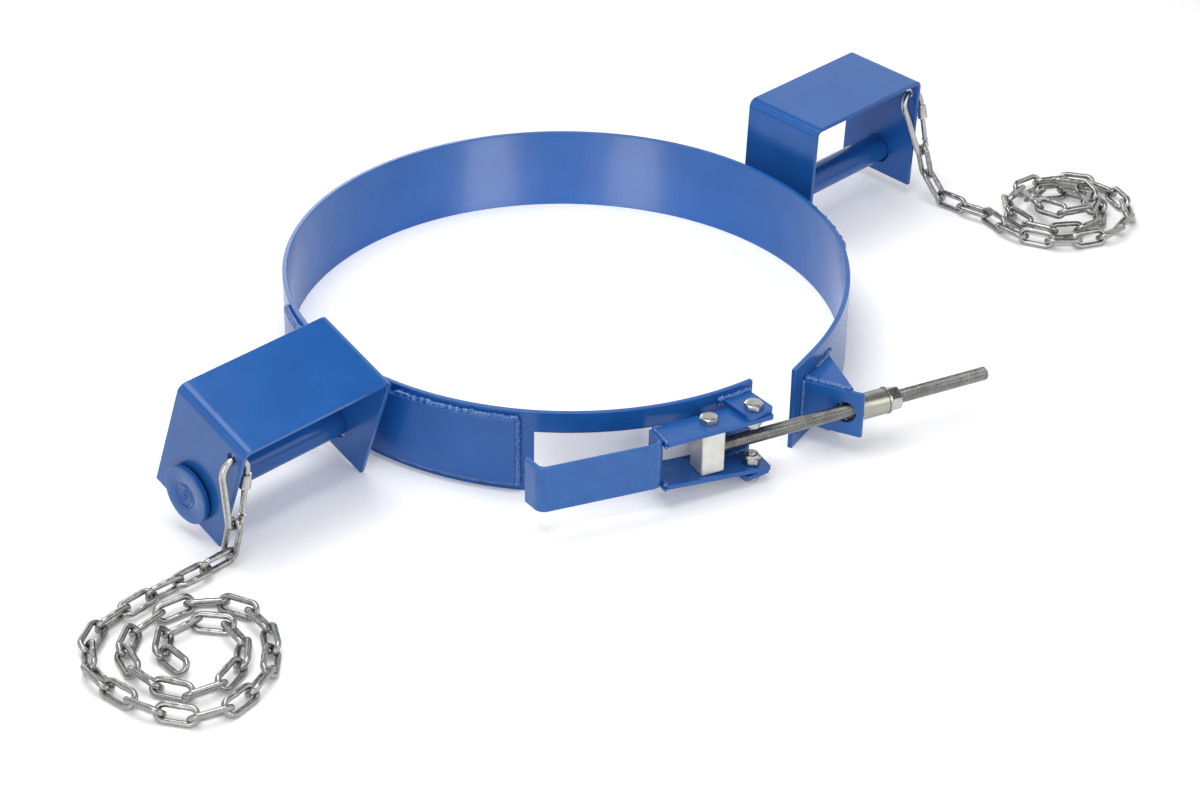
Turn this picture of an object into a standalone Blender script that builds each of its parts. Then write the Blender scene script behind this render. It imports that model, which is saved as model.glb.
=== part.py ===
"""Drum lifter for fork trucks.

A clamp ring closes round a drum with an over-centre lever. Two stub axles stand on the ring, and a
fork sleeve turns on each. A snap hook in each sleeve carries a length of long-link chain.

Lengths are in metres and angles in degrees. The ring is drawn round its own centre, standing on z = 0,
with the axles along X and the latch at -Y. At the end the whole part is moved so that the world origin
is the middle of its base.
"""

import math

import bmesh
import bpy
from mathutils import Euler, Matrix, Vector

# clearances
CLEAR = 0.0003  # between pieces that touch
PIVOT_CLEAR = 0.0005  # round a bolt that something turns on
SEAT_CLEAR = 0.0015  # between the middle of the spacer tube's end and the lug it is drawn against

# clamp ring
BAND_INNER_R = 0.2925
BAND_THICK = 0.005
BAND_HEIGHT = 0.092
BAND_LEFT_END = 262.8  # angle of the end that carries the lever
BAND_EASE_FROM = 315.0  # where the other arm starts to leave the circle
BAND_EASE_R = 0.350
BAND_FLAT_TURN = 284.5  # angle that the easing arc reaches before the flat end
BAND_FLAT_LENGTH = 0.0446
BAND_STEP = 4.5  # degrees between the points of an arc

# doubler plates outside the ring, where the axles stand
DOUBLER_MIDDLE = 3.9  # degrees from the axle line towards the latch
DOUBLER_SPAN = 63.0
DOUBLER_THICK = 0.006
DOUBLER_BOTTOM = 0.010
DOUBLER_HEIGHT = 0.074

# stub axles
AXLE_R = 0.016
AXLE_Y = -0.008
AXLE_Z = 0.046
AXLE_SIDES = 24
CAP_R = 0.030
CAP_THICK = 0.006
CAP_PLAY = 0.003
PLUG_RECESS = 0.0015

# fork sleeves
SLEEVE_OFF_BORE = 0.035  # from the ring's bore to the sleeve
SLEEVE_INNER_X = BAND_INNER_R + SLEEVE_OFF_BORE
SLEEVE_WIDTH = 0.1835
SLEEVE_DEPTH = 0.099
SLEEVE_ABOVE = 0.1065
SLEEVE_BELOW = 0.0292
SLEEVE_THICK = 0.005
SLEEVE_BEND_R = 0.0065  # to the middle of the plate
SLEEVE_HOLE_R = 0.0175
SLEEVE_TILT = {"left": 20.4, "right": 2.0}
HOOK_HOLE_R = 0.0063
HOOK_HOLE_FROM_FRONT = 0.0135
HOOK_HOLE_FROM_TOP = 0.0195

# latch, drawn along the rod: u runs from the pivot to the rod's free end, v towards the ring
LATCH_TURN = -18.8
PIVOT_LEFT = 0.065
PIVOT_OUTSIDE = 0.0235  # from the level of the band's outside at the front to the pivot
PIVOT_AT = (-PIVOT_LEFT, -(BAND_INNER_R + BAND_THICK + PIVOT_OUTSIDE))
LATCH_MIDDLE = 0.046
LUG_TURN = -8.8
LUG_WIDTH = 0.0315
LUG_LEFT_OF_PIVOT = 0.0142
LUG_BEYOND_PIVOT = 0.0113
LUG_THICK = 0.005
LUG_INWARDS = 0.05  # from the pivot to past the band, before the cope
LUG_SPREAD = 0.0752  # from the top of one lug to the bottom of the other
PLATE_THICK = 0.005
PLATE_FRONT = 0.0131
PLATE_BACK = 0.0190
PLATE_BEYOND_PIVOT = 0.0165
PLATE_LENGTH = 0.1165
LOWER_PLATE_RISE = 0.090  # the lower plate climbs this much for each metre towards the handle
HANDLE_THICK = 0.005
HANDLE_HEIGHT = 0.050
HANDLE_BOTTOM = 0.0272
HANDLE_BEND_R = 0.009
HANDLE_CORNER_V = -0.0087
HANDLE_REACH = 0.1267
HANDLE_LEAN = 5.3
HANDLE_RETURN = 0.0237
HANDLE_RETURN_TURN = 77.0
TRUNNION_U = -0.047
TRUNNION_V = 0.0045
BLOCK_SIDE = 0.025
BLOCK_CHAMFER = 0.001
BLOCK_TO_PLATE = 0.0006
BOLT_R = 0.005
BOLT_HEAD_FLATS = 0.017
BOLT_HEAD_THICK = 0.0064
PIVOT_NUT_THICK = 0.010
PIVOT_BOLT_SHOWS = 0.002
TRUNNION_BOLT_DEPTH = 0.012

# drawbar rod, its lug on the ring and what is on it
ROD_R = 0.007
ROD_Z = 0.047
ROD_END_U = 0.2757
ROD_CHAMFER = 0.0015
ROD_IN_BLOCK = 0.009
ROD_LUG_U = 0.1101
ROD_LUG_TURN = 19.0
ROD_LUG_THICK = 0.005
ROD_LUG_HEIGHT = 0.050
ROD_LUG_BOTTOM = 0.0213
ROD_LUG_BEYOND = 0.0185
ROD_LUG_HOLE_R = 0.0118
GUSSET_ALONG_RING = 0.054
GUSSET_ALONG_LUG = 0.050
GUSSET_THICK = 0.005
TUBE_R = 0.0132
TUBE_BORE_R = 0.0078
TUBE_END_U = 0.1548
TUBE_MITRE = 34.0  # less than the lug's own slope, so that the tube stays clear as the rod swings
WASHER_R = 0.014
WASHER_THICK = 0.0025
NUT_FLATS = 0.022
NUT_THICK = 0.012

# snap hooks: a runs across the hook from its gate to its spine, and d down its length
HOOK_WIRE_R = 0.0035
HOOK_TOP_R = 0.0145
HOOK_FOOT_R = 0.008
HOOK_FOOT_A = 0.003
HOOK_LENGTH = 0.0740  # from the top of the bow to the foot, to the middle of the wire
HOOK_TURN = {"left": 0.0, "right": 7.5}  # how far each hook hangs turned in its own plane
HOOK_NOSE = 0.003
HOOK_KNUCKLE = 0.003
GATE_R = 0.0030
COLLAR_R = 0.0057
COLLAR_BORE_R = 0.0040
COLLAR_LENGTH = 0.016
COLLAR_BELOW_TIP = 0.001

# chain
CHAIN_WIRE_R = 0.003
CHAIN_PITCH = 0.031
CHAIN_WIDTH = 0.021
CHAIN_SEPARATE_LINKS = 4
LINK_SLACK = 0.0004
CHAIN_FUSE = 0.0014  # how far the laid links sink into each other to make one body
CHAIN_LIFT = 0.0002  # under the links that lie on the floor
CHAIN_FIRST_ROLLS = {
    "left": (0, 80, -8, 76, -18, 66, -28, 56, -36),
    "right": (110, -10, 80, -8, 76, -18, 66, -28, 56, -36),
}
CHAIN_ASIDE = {"left": 0.0, "right": 0.0005}  # where the first link rides on the hook's foot
CHAIN_HANGING = {"left": 1, "right": 2}  # links before the first that lies on the floor
# heading and drop of each hanging link; the last one drops to the floor
CHAIN_SAG = {"left": 0.0009, "right": 0.0002}  # how far the last hanging link's wire lies below the next link's middle
CHAIN_HEADINGS = {"left": [(-1.0, -0.1, None)], "right": [(0.2, -0.98, 0.0355), (-0.05, -1.0, None)]}
CHAIN_ROUTE = {
    "left": [
        (-0.5700, -0.0730, 0.0085),
        (-0.6040, -0.0710, 0.0085),
        (-0.6370, -0.0720, 0.0085),
        (-0.6700, -0.0745, 0.0085),
        (-0.6980, -0.0870, 0.0085),
        (-0.7160, -0.1110, 0.0085),
        (-0.7230, -0.1420, 0.0085),
        (-0.7210, -0.1740, 0.0085),
        (-0.7150, -0.2040, 0.0085),
        (-0.7010, -0.2310, 0.0085),
        (-0.6760, -0.2470, 0.0085),
        (-0.6450, -0.2460, 0.0085),
        (-0.6140, -0.2360, 0.0085),
        (-0.5870, -0.2130, 0.0085),
        (-0.5670, -0.1820, 0.0085),
        (-0.5620, -0.1480, 0.0085),
        (-0.5740, -0.1200, 0.0085),
        (-0.5980, -0.1020, 0.0085),
        (-0.6300, -0.0980, 0.0085),
        (-0.6640, -0.1050, 0.0085),
        (-0.6880, -0.1270, 0.0085),
        (-0.6940, -0.1580, 0.0085),
        (-0.6880, -0.1890, 0.0085),
        (-0.6700, -0.2150, 0.0085),
        (-0.6410, -0.2160, 0.0085),
        (-0.6130, -0.2030, 0.0085),
        (-0.5940, -0.1780, 0.0085),
        (-0.5910, -0.1490, 0.0085),
        (-0.6080, -0.1280, 0.0085),
        (-0.6350, -0.1240, 0.0085),
        (-0.6580, -0.1380, 0.0085),
        (-0.6640, -0.1640, 0.0085),
        (-0.6520, -0.1850, 0.0085),
        (-0.6300, -0.1830, 0.0085),
    ],
    "right": [
        (0.5160, -0.1250, 0.0085),
        (0.5230, -0.1520, 0.0085),
        (0.5200, -0.1790, 0.0085),
        (0.5100, -0.1990, 0.0085),
        (0.5150, -0.2320, 0.0085),
        (0.5350, -0.2600, 0.0085),
        (0.5660, -0.2800, 0.0085),
        (0.6020, -0.2860, 0.0085),
        (0.6370, -0.2770, 0.0085),
        (0.6630, -0.2520, 0.0085),
        (0.6730, -0.2180, 0.0085),
        (0.6670, -0.1830, 0.0085),
        (0.6430, -0.1580, 0.0085),
        (0.6090, -0.1460, 0.0085),
        (0.5750, -0.1520, 0.0085),
        (0.5490, -0.1730, 0.0085),
        (0.5390, -0.2050, 0.0085),
        (0.5480, -0.2360, 0.0085),
        (0.5730, -0.2560, 0.0085),
        (0.6050, -0.2580, 0.0085),
        (0.6320, -0.2400, 0.0085),
        (0.6430, -0.2100, 0.0085),
        (0.6330, -0.1820, 0.0085),
        (0.6060, -0.1730, 0.0110),
        (0.5790, -0.1790, 0.0190),
        (0.5590, -0.2000, 0.0260),
        (0.5600, -0.2300, 0.0270),
        (0.5830, -0.2490, 0.0270),
        (0.6130, -0.2450, 0.0270),
        (0.6320, -0.2210, 0.0270),
        (0.6260, -0.1920, 0.0275),
        (0.6010, -0.1780, 0.0290),
    ],
}

# colours: linear red, green, blue, then roughness and metallic
BLUE_PAINT = ((0.012, 0.098, 0.350), 0.25, 0.0)
ZINC = ((0.62, 0.62, 0.58), 0.28, 1.0)
PALE_ZINC = ((0.72, 0.71, 0.68), 0.45, 0.6)


BAND_OUTER_R = BAND_INNER_R + BAND_THICK
BAND_MID_R = BAND_INNER_R + BAND_THICK / 2
DOUBLER_MID_R = BAND_OUTER_R + CLEAR + DOUBLER_THICK / 2
DOUBLER_OUTER_R = BAND_OUTER_R + CLEAR + DOUBLER_THICK
SLEEVE_OUTER_X = SLEEVE_INNER_X + SLEEVE_WIDTH
CHEEK_MIDDLE_X = SLEEVE_OUTER_X - SLEEVE_THICK / 2
LUG_TOP = LATCH_MIDDLE + LUG_SPREAD / 2
LUG_BASE = LATCH_MIDDLE - LUG_SPREAD / 2
UPPER_PLATE_TOP = LUG_TOP - LUG_THICK - CLEAR
PLATE_LEFT_U = PLATE_BEYOND_PIVOT - PLATE_LENGTH
ROD_LUG_RELATIVE = math.radians(ROD_LUG_TURN - LATCH_TURN)


# ---------------------------------------------------------------- helpers


def direction(degrees):
    """Unit vector in the floor plane at this angle from +X."""
    angle = math.radians(degrees)
    return Vector((math.cos(angle), math.sin(angle)))


def facing(side):
    """-1 on the left-hand side and 1 on the right-hand one."""
    return -1.0 if side == "left" else 1.0


def remove_everything():
    for thing in list(bpy.data.objects):
        bpy.data.objects.remove(thing, do_unlink=True)


def new_collection(name):
    made = bpy.data.collections.new(name)
    bpy.context.scene.collection.children.link(made)
    return made


def material(name, finish):
    colour, roughness, metallic = finish
    made = bpy.data.materials.new(name)
    made.use_nodes = True
    shader = made.node_tree.nodes["Principled BSDF"]
    shader.inputs["Base Color"].default_value = (*colour, 1.0)
    shader.inputs["Roughness"].default_value = roughness
    shader.inputs["Metallic"].default_value = metallic
    return made


class Assembly:
    """Puts finished meshes into the part's collection and cutters into another."""

    def __init__(self):
        self.pieces = new_collection("drum_lifter")
        self.cutters = new_collection("cutters")
        self.root = self.axis("lifter_frame", None, (0, 0, 0))

    def axis(self, name, parent, place, turn=(0, 0, 0)):
        """An empty that stands on a joint's axis."""
        empty = bpy.data.objects.new(name, None)
        empty.empty_display_size = 0.02
        empty.location = place
        empty.rotation_euler = [math.radians(a) for a in turn]
        empty.parent = parent
        self.pieces.objects.link(empty)
        return empty

    def add(self, name, mesh, finish, parent=None, place=(0, 0, 0), turn=(0, 0, 0)):
        piece = bpy.data.objects.new(name, mesh)
        piece.data.materials.append(material(name, finish))
        piece.location = place
        piece.rotation_euler = [math.radians(a) for a in turn]
        piece.parent = parent or self.root
        self.pieces.objects.link(piece)
        return piece

    def cut(self, piece, name, mesh, place=(0, 0, 0), turn=(0, 0, 0), parent=None):
        """Takes the cutter's volume out of the piece."""
        cutter = bpy.data.objects.new(name, mesh)
        cutter.location = place
        cutter.rotation_euler = [math.radians(a) for a in turn]
        cutter.parent = parent or piece.parent
        cutter.hide_render = True
        cutter.display_type = "WIRE"
        self.cutters.objects.link(cutter)
        step = piece.modifiers.new(name, "BOOLEAN")
        step.operation = "DIFFERENCE"
        step.solver = "EXACT"
        step.object = cutter


def soften(piece, width, angle=50.0):
    """Breaks the sharp edges of a plate."""
    step = piece.modifiers.new("broken_edges", "BEVEL")
    step.width = width
    step.segments = 1
    step.limit_method = "ANGLE"
    step.angle_limit = math.radians(angle)


def finished(name, build):
    """A mesh from a bmesh, with its faces turned outwards."""
    bmesh.ops.recalc_face_normals(build, faces=build.faces)
    mesh = bpy.data.meshes.new(name)
    build.to_mesh(mesh)
    build.free()
    return mesh


def arc(centre, radius, start, end, step=BAND_STEP):
    """Points on an arc from one angle to another, in degrees, both ends included."""
    count = max(1, round(abs(end - start) / step))
    points = []
    for i in range(count + 1):
        points.append(Vector(centre) + radius * direction(start + (end - start) * i / count))
    return points


def rounded(corners, radius, step):
    """An open path through the corners, each inner one turned into an arc."""
    path = [Vector(corners[0])]
    for before, corner, after in zip(corners, corners[1:], corners[2:]):
        corner = Vector(corner)
        back = (Vector(before) - corner).normalized()
        ahead = (Vector(after) - corner).normalized()
        half = back.angle(ahead) / 2
        middle = corner + (back + ahead).normalized() * radius / math.sin(half)
        foot = corner + back * radius / math.tan(half)
        spoke = foot - middle
        swing = math.pi - 2 * half
        if back.x * ahead.y - back.y * ahead.x > 0:
            swing = -swing
        count = max(1, round(abs(math.degrees(swing)) / step))
        for i in range(count + 1):
            turn = Matrix.Rotation(swing * i / count, 2)
            path.append(middle + turn @ spoke)
    path.append(Vector(corners[-1]))
    return path


def ribbon(name, path, thickness, low, high):
    """A plate standing on edge along a path: the path is the middle of its thickness."""
    left = []
    right = []
    last = len(path) - 1
    for i, point in enumerate(path):
        into = (point - path[i - 1]).normalized() if i else None
        out = (path[i + 1] - point).normalized() if i < last else None
        along = ((into or out) + (out or into)).normalized()
        reach = thickness / 2 / along.dot(out or into)
        side = Vector((-along.y, along.x)) * reach
        left.append(point + side)
        right.append(point - side)
    build = bmesh.new()
    rows = []
    for line, height in ((left, low), (right, low), (right, high), (left, high)):
        rows.append([build.verts.new((p.x, p.y, height)) for p in line])
    for i in range(last):
        for a in range(4):
            b = (a + 1) % 4
            build.faces.new((rows[a][i], rows[a][i + 1], rows[b][i + 1], rows[b][i]))
    build.faces.new([row[0] for row in rows])
    build.faces.new([row[last] for row in reversed(rows)])
    return finished(name, build)


def prism(name, outline, low, high, slope=0.0):
    """A flat plate of this outline. With a slope, it climbs as x grows."""
    build = bmesh.new()
    base = [build.verts.new((p[0], p[1], low + slope * p[0])) for p in outline]
    top = [build.verts.new((p[0], p[1], high + slope * p[0])) for p in outline]
    build.faces.new(list(reversed(base)))
    build.faces.new(top)
    for i in range(len(outline)):
        j = (i + 1) % len(outline)
        build.faces.new((base[i], base[j], top[j], top[i]))
    return finished(name, build)


def turned(name, profile, sides=16):
    """A turned piece on the Z axis. The profile runs from its lower end to its upper end."""
    build = bmesh.new()
    rings = []
    for radius, height in profile:
        if radius == 0:
            rings.append([build.verts.new((0, 0, height))])
            continue
        ring = []
        for i in range(sides):
            angle = 2 * math.pi * (i + 0.5) / sides
            ring.append(build.verts.new((radius * math.cos(angle), radius * math.sin(angle), height)))
        rings.append(ring)
    closed = profile[0][0] > 0 and profile[0] == profile[-1]
    if closed:
        for vertex in rings.pop():
            build.verts.remove(vertex)
    pairs = list(zip(rings, rings[1:]))
    if closed:
        pairs.append((rings[-1], rings[0]))
    for lower, upper in pairs:
        for i in range(sides):
            j = (i + 1) % sides
            if len(lower) == 1:
                build.faces.new((lower[0], upper[j], upper[i]))
            elif len(upper) == 1:
                build.faces.new((lower[i], lower[j], upper[0]))
            else:
                build.faces.new((lower[i], lower[j], upper[j], upper[i]))
    if not closed:
        if len(rings[0]) > 1:
            build.faces.new(list(reversed(rings[0])))
        if len(rings[-1]) > 1:
            build.faces.new(rings[-1])
    return finished(name, build)


def rod_profile(radius, low, high, chamfer=0.0):
    if not chamfer:
        return [(radius, low), (radius, high)]
    return [
        (radius - chamfer, low),
        (radius, low + chamfer),
        (radius, high - chamfer),
        (radius - chamfer, high),
    ]


def sleeve_profile(outer, bore, low, high, chamfer=0.0):
    """A closed loop for turned(): bore, end, outside, end."""
    loop = [(bore, low), (outer - chamfer, low)]
    if chamfer:
        loop += [(outer, low + chamfer), (outer, high - chamfer)]
    else:
        loop += [(outer, high)]
    if chamfer:
        loop += [(outer - chamfer, high)]
    loop += [(bore, high), (bore, low)]
    return loop


def hexagon(flats, turn=0.0):
    corner = flats / math.sqrt(3)
    return [corner * direction(60 * i + turn) for i in range(6)]


def hex_head_bolt(name, head_thick, shank_r, shank_length, tip=0.001):
    """A bolt along Z with its head above z = 0 and its shank below."""
    build = bmesh.new()
    flats = BOLT_HEAD_FLATS
    crown = [build.verts.new((*(p * 0.93), head_thick)) for p in hexagon(flats)]
    shoulder = [build.verts.new((*p, head_thick * 0.8)) for p in hexagon(flats)]
    under = [build.verts.new((*p, 0)) for p in hexagon(flats)]
    sides = 12
    levels = ((shank_r, 0), (shank_r, tip - shank_length), (shank_r - tip, -shank_length))
    shank = []
    for radius, height in levels:
        shank.append([build.verts.new((*(radius * direction(30 * i)), height)) for i in range(sides)])
    build.faces.new(crown)
    for upper, lower in ((crown, shoulder), (shoulder, under)):
        for i in range(6):
            j = (i + 1) % 6
            build.faces.new((upper[i], lower[i], lower[j], upper[j]))
    for i in range(6):
        j = (i + 1) % 6
        build.faces.new((under[i], shank[0][2 * i], shank[0][2 * i + 1], shank[0][(2 * i + 2) % sides], under[j]))
    for upper, lower in zip(shank, shank[1:]):
        for i in range(sides):
            j = (i + 1) % sides
            build.faces.new((upper[i], lower[i], lower[j], upper[j]))
    build.faces.new(list(reversed(shank[-1])))
    return finished(name, build)


def hex_nut(name, flats, thick, bore, collar=0.0):
    """A nut along Z from z = 0, with a round collar of this height at its top where it is a lock nut."""
    build = bmesh.new()
    sides = 12
    hex_high = thick - collar
    low = [build.verts.new((*(p * 0.95), 0)) for p in hexagon(flats)]
    belt = [build.verts.new((*p, 0.08 * flats)) for p in hexagon(flats)]
    high = [build.verts.new((*p, hex_high - 0.08 * flats)) for p in hexagon(flats)]
    top = [build.verts.new((*(p * 0.92), hex_high)) for p in hexagon(flats)]
    for lower, upper in ((low, belt), (belt, high), (high, top)):
        for i in range(6):
            j = (i + 1) % 6
            build.faces.new((lower[i], lower[j], upper[j], upper[i]))

    def circle(radius, height):
        return [build.verts.new((*(radius * direction(30 * i)), height)) for i in range(sides)]

    def hex_to_circle(corners, ring):
        for i in range(6):
            j = (i + 1) % 6
            build.faces.new((corners[i], ring[2 * i], ring[2 * i + 1], ring[(2 * i + 2) % sides], corners[j]))

    rings = []
    if collar:
        rings.append(circle(0.43 * flats, hex_high))
        rings.append(circle(0.36 * flats, thick))
        hex_to_circle(top, rings[0])
    rings.append(circle(bore, thick))
    if not collar:
        hex_to_circle(top, rings[0])
    rings.append(circle(bore, 0))
    hex_to_circle(low, rings[-1])
    for lower, upper in zip(rings, rings[1:]):
        for i in range(sides):
            j = (i + 1) % sides
            build.faces.new((lower[i], lower[j], upper[j], upper[i]))
    return finished(name, build)


def wire(name, points, radius, finish, assembly, parent, sides_step=2):
    """A bent round bar: an open curve with a round section and closed ends."""
    curve = bpy.data.curves.new(name, "CURVE")
    curve.dimensions = "3D"
    curve.bevel_depth = radius
    curve.bevel_resolution = sides_step
    curve.use_fill_caps = True
    spline = curve.splines.new("POLY")
    spline.points.add(len(points) - 1)
    for slot, point in zip(spline.points, points):
        slot.co = (*point, 1.0)
    return assembly.add(name, curve, finish, parent)


# ---------------------------------------------------------------- clamp ring


def band_path():
    """The middle of the band's thickness, clockwise from the lever's end to the flat end."""
    path = arc((0, 0), BAND_MID_R, BAND_LEFT_END, BAND_EASE_FROM - 360)
    centre = (BAND_MID_R - BAND_EASE_R) * direction(BAND_EASE_FROM)
    path += arc(centre, BAND_EASE_R, BAND_EASE_FROM, BAND_FLAT_TURN)[1:]
    path.append(path[-1] + BAND_FLAT_LENGTH * direction(BAND_FLAT_TURN - 90))
    return path


def flat_end_line():
    """A point on the outside of the band's flat end, its run towards the gap, and its outward normal."""
    corner = band_path()[-2]
    outward = direction(BAND_FLAT_TURN)
    return corner + outward * BAND_THICK / 2, direction(BAND_FLAT_TURN - 90), outward


def make_band(assembly):
    mesh = ribbon("clamp_band", band_path(), BAND_THICK, 0.0, BAND_HEIGHT)
    soften(assembly.add("clamp_band", mesh, BLUE_PAINT), 0.0007)


def make_doubler(assembly, side):
    name = f"doubler_{side}"
    if side == "left":
        middle = 180 + DOUBLER_MIDDLE
    else:
        middle = -DOUBLER_MIDDLE
    path = arc((0, 0), DOUBLER_MID_R, middle - DOUBLER_SPAN / 2, middle + DOUBLER_SPAN / 2)
    top = DOUBLER_BOTTOM + DOUBLER_HEIGHT
    mesh = ribbon(name, path, DOUBLER_THICK, DOUBLER_BOTTOM, top)
    soften(assembly.add(name, mesh, BLUE_PAINT), 0.0010)


def make_axle(assembly, side):
    """A round bar coped to the doubler, with the cap disc plug-welded on its outer end."""
    sign = facing(side)
    cap_inner = SLEEVE_OUTER_X + CAP_PLAY
    bar_end = cap_inner + CAP_THICK - PLUG_RECESS
    place = (0, AXLE_Y, AXLE_Z)
    turn = (0, 90 * sign, 0)
    bar = turned(f"axle_{side}", rod_profile(AXLE_R, BAND_MID_R, bar_end), AXLE_SIDES)
    axle = assembly.add(f"axle_{side}", bar, BLUE_PAINT, None, place, turn)
    cope = turned(f"axle_cope_{side}", rod_profile(DOUBLER_OUTER_R + CLEAR, -0.02, BAND_HEIGHT + 0.02), 120)
    assembly.cut(axle, f"axle_cope_{side}", cope)
    disc = sleeve_profile(CAP_R, AXLE_R + CLEAR, cap_inner, cap_inner + CAP_THICK, 0.001)
    assembly.add(f"axle_cap_{side}", turned(f"axle_cap_{side}", disc, AXLE_SIDES), BLUE_PAINT, None, place, turn)


# ---------------------------------------------------------------- fork sleeves


def sleeve_drop():
    """How far a sleeve's holes hang below the axle they rest on."""
    return SLEEVE_HOLE_R - AXLE_R - CLEAR


def hook_hole(side):
    """The hook hole's centre in the sleeve's own frame, whose X axis is the axle."""
    y = -SLEEVE_DEPTH / 2 + HOOK_HOLE_FROM_FRONT
    z = SLEEVE_ABOVE - HOOK_HOLE_FROM_TOP
    return Vector((facing(side) * CHEEK_MIDDLE_X, y, z))


def make_sleeve(assembly, side, axis):
    """A plate bent to an upside-down channel, with a pair of holes for the axle and one for the hook."""
    sign = facing(side)
    name = f"fork_sleeve_{side}"
    half = SLEEVE_THICK / 2
    inner = SLEEVE_INNER_X + half
    outer = SLEEVE_OUTER_X - half
    top = SLEEVE_ABOVE - half
    corners = [(inner, -SLEEVE_BELOW), (inner, top), (outer, top), (outer, -SLEEVE_BELOW)]
    path = rounded(corners, SLEEVE_BEND_R, 30)
    mesh = ribbon(name, path, SLEEVE_THICK, -SLEEVE_DEPTH / 2, SLEEVE_DEPTH / 2)
    # the channel is drawn in the floor plane and stood up: drawn y becomes z
    stand = Matrix(((sign, 0, 0, 0), (0, 0, 1, 0), (0, 1, 0, 0), (0, 0, 0, 1)))
    mesh.transform(stand)
    if stand.determinant() < 0:
        mesh.flip_normals()
    sleeve = assembly.add(name, mesh, BLUE_PAINT, axis)
    soften(sleeve, 0.0008)
    reach = SLEEVE_WIDTH / 2 + 0.02
    middle = sign * (SLEEVE_INNER_X + SLEEVE_WIDTH / 2)
    bore = turned(f"axle_holes_{side}", rod_profile(SLEEVE_HOLE_R, -reach, reach), AXLE_SIDES)
    assembly.cut(sleeve, f"axle_holes_{side}", bore, (middle, 0, 0), (0, 90, 0))
    hole = hook_hole(side)
    drill = turned(f"hook_hole_{side}", rod_profile(HOOK_HOLE_R, -SLEEVE_THICK, SLEEVE_THICK), 16)
    assembly.cut(sleeve, f"hook_hole_{side}", drill, hole, (0, 90, 0))


# ---------------------------------------------------------------- latch


def make_lug(assembly, name, low):
    """A flat lug on the band's end, coped to the band and bored for the pivot bolt."""
    left = -LUG_LEFT_OF_PIVOT
    right = left + LUG_WIDTH
    front = -LUG_BEYOND_PIVOT
    chamfer = 0.003
    outline = [
        (left, LUG_INWARDS),
        (left, front + chamfer),
        (left + chamfer, front),
        (right - chamfer, front),
        (right, front + chamfer),
        (right, LUG_INWARDS),
    ]
    mesh = prism(name, outline, low, low + LUG_THICK)
    lug = assembly.add(name, mesh, BLUE_PAINT, None, (*PIVOT_AT, 0), (0, 0, LUG_TURN))
    cope = turned(f"{name}_cope", rod_profile(BAND_OUTER_R + CLEAR, low - 0.01, low + LUG_THICK + 0.01), 120)
    assembly.cut(lug, f"{name}_cope", cope)
    drill = turned(f"{name}_hole", rod_profile(BOLT_R + CLEAR, low - 0.01, low + LUG_THICK + 0.01), 12)
    assembly.cut(lug, f"{name}_hole", drill, (*PIVOT_AT, 0))


def lower_plate_level(u):
    """Height of the lower lever plate's underside at u. It lies on the lug at its end and climbs."""
    return LUG_BASE + LUG_THICK + CLEAR + LOWER_PLATE_RISE * (PLATE_BEYOND_PIVOT - u)


def make_lever_plates(assembly, pivot):
    chamfer = 0.002
    left = PLATE_LEFT_U
    right = PLATE_BEYOND_PIVOT
    outline = [
        (left, PLATE_BACK),
        (left, -PLATE_FRONT),
        (right - chamfer, -PLATE_FRONT),
        (right, chamfer - PLATE_FRONT),
        (right, PLATE_BACK - chamfer),
        (right - chamfer, PLATE_BACK),
    ]
    levels = {
        "lever_plate_upper": (UPPER_PLATE_TOP - PLATE_THICK, 0.0),
        "lever_plate_lower": (lower_plate_level(0), -LOWER_PLATE_RISE),
    }
    for name, (low, slope) in levels.items():
        mesh = prism(name, outline, low, low + PLATE_THICK, slope)
        plate = assembly.add(name, mesh, BLUE_PAINT, pivot)
        soften(plate, 0.0005)
        for hole, u, v in (("pivot", 0, 0), ("trunnion", TRUNNION_U, TRUNNION_V)):
            drill = rod_profile(BOLT_R + PIVOT_CLEAR, low - 0.02, low + PLATE_THICK + 0.02)
            assembly.cut(plate, f"{name}_{hole}", turned(f"{name}_{hole}", drill, 12), (u, v, 0))


def make_handle(assembly, pivot):
    """A flat bar bent three ways: the web between the plates, the long grip, and its short return."""
    web_u = PLATE_LEFT_U - CLEAR - HANDLE_THICK / 2
    corner = Vector((web_u, HANDLE_CORNER_V))
    far = corner + HANDLE_REACH * direction(180 - HANDLE_LEAN)
    tip = far + HANDLE_RETURN * direction(180 - HANDLE_LEAN - HANDLE_RETURN_TURN)
    path = rounded([(web_u, PLATE_BACK), corner, far, tip], HANDLE_BEND_R, 22)
    top = HANDLE_BOTTOM + HANDLE_HEIGHT
    mesh = ribbon("lever_handle", path, HANDLE_THICK, HANDLE_BOTTOM, top)
    soften(assembly.add("lever_handle", mesh, BLUE_PAINT, pivot), 0.0008)


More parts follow.
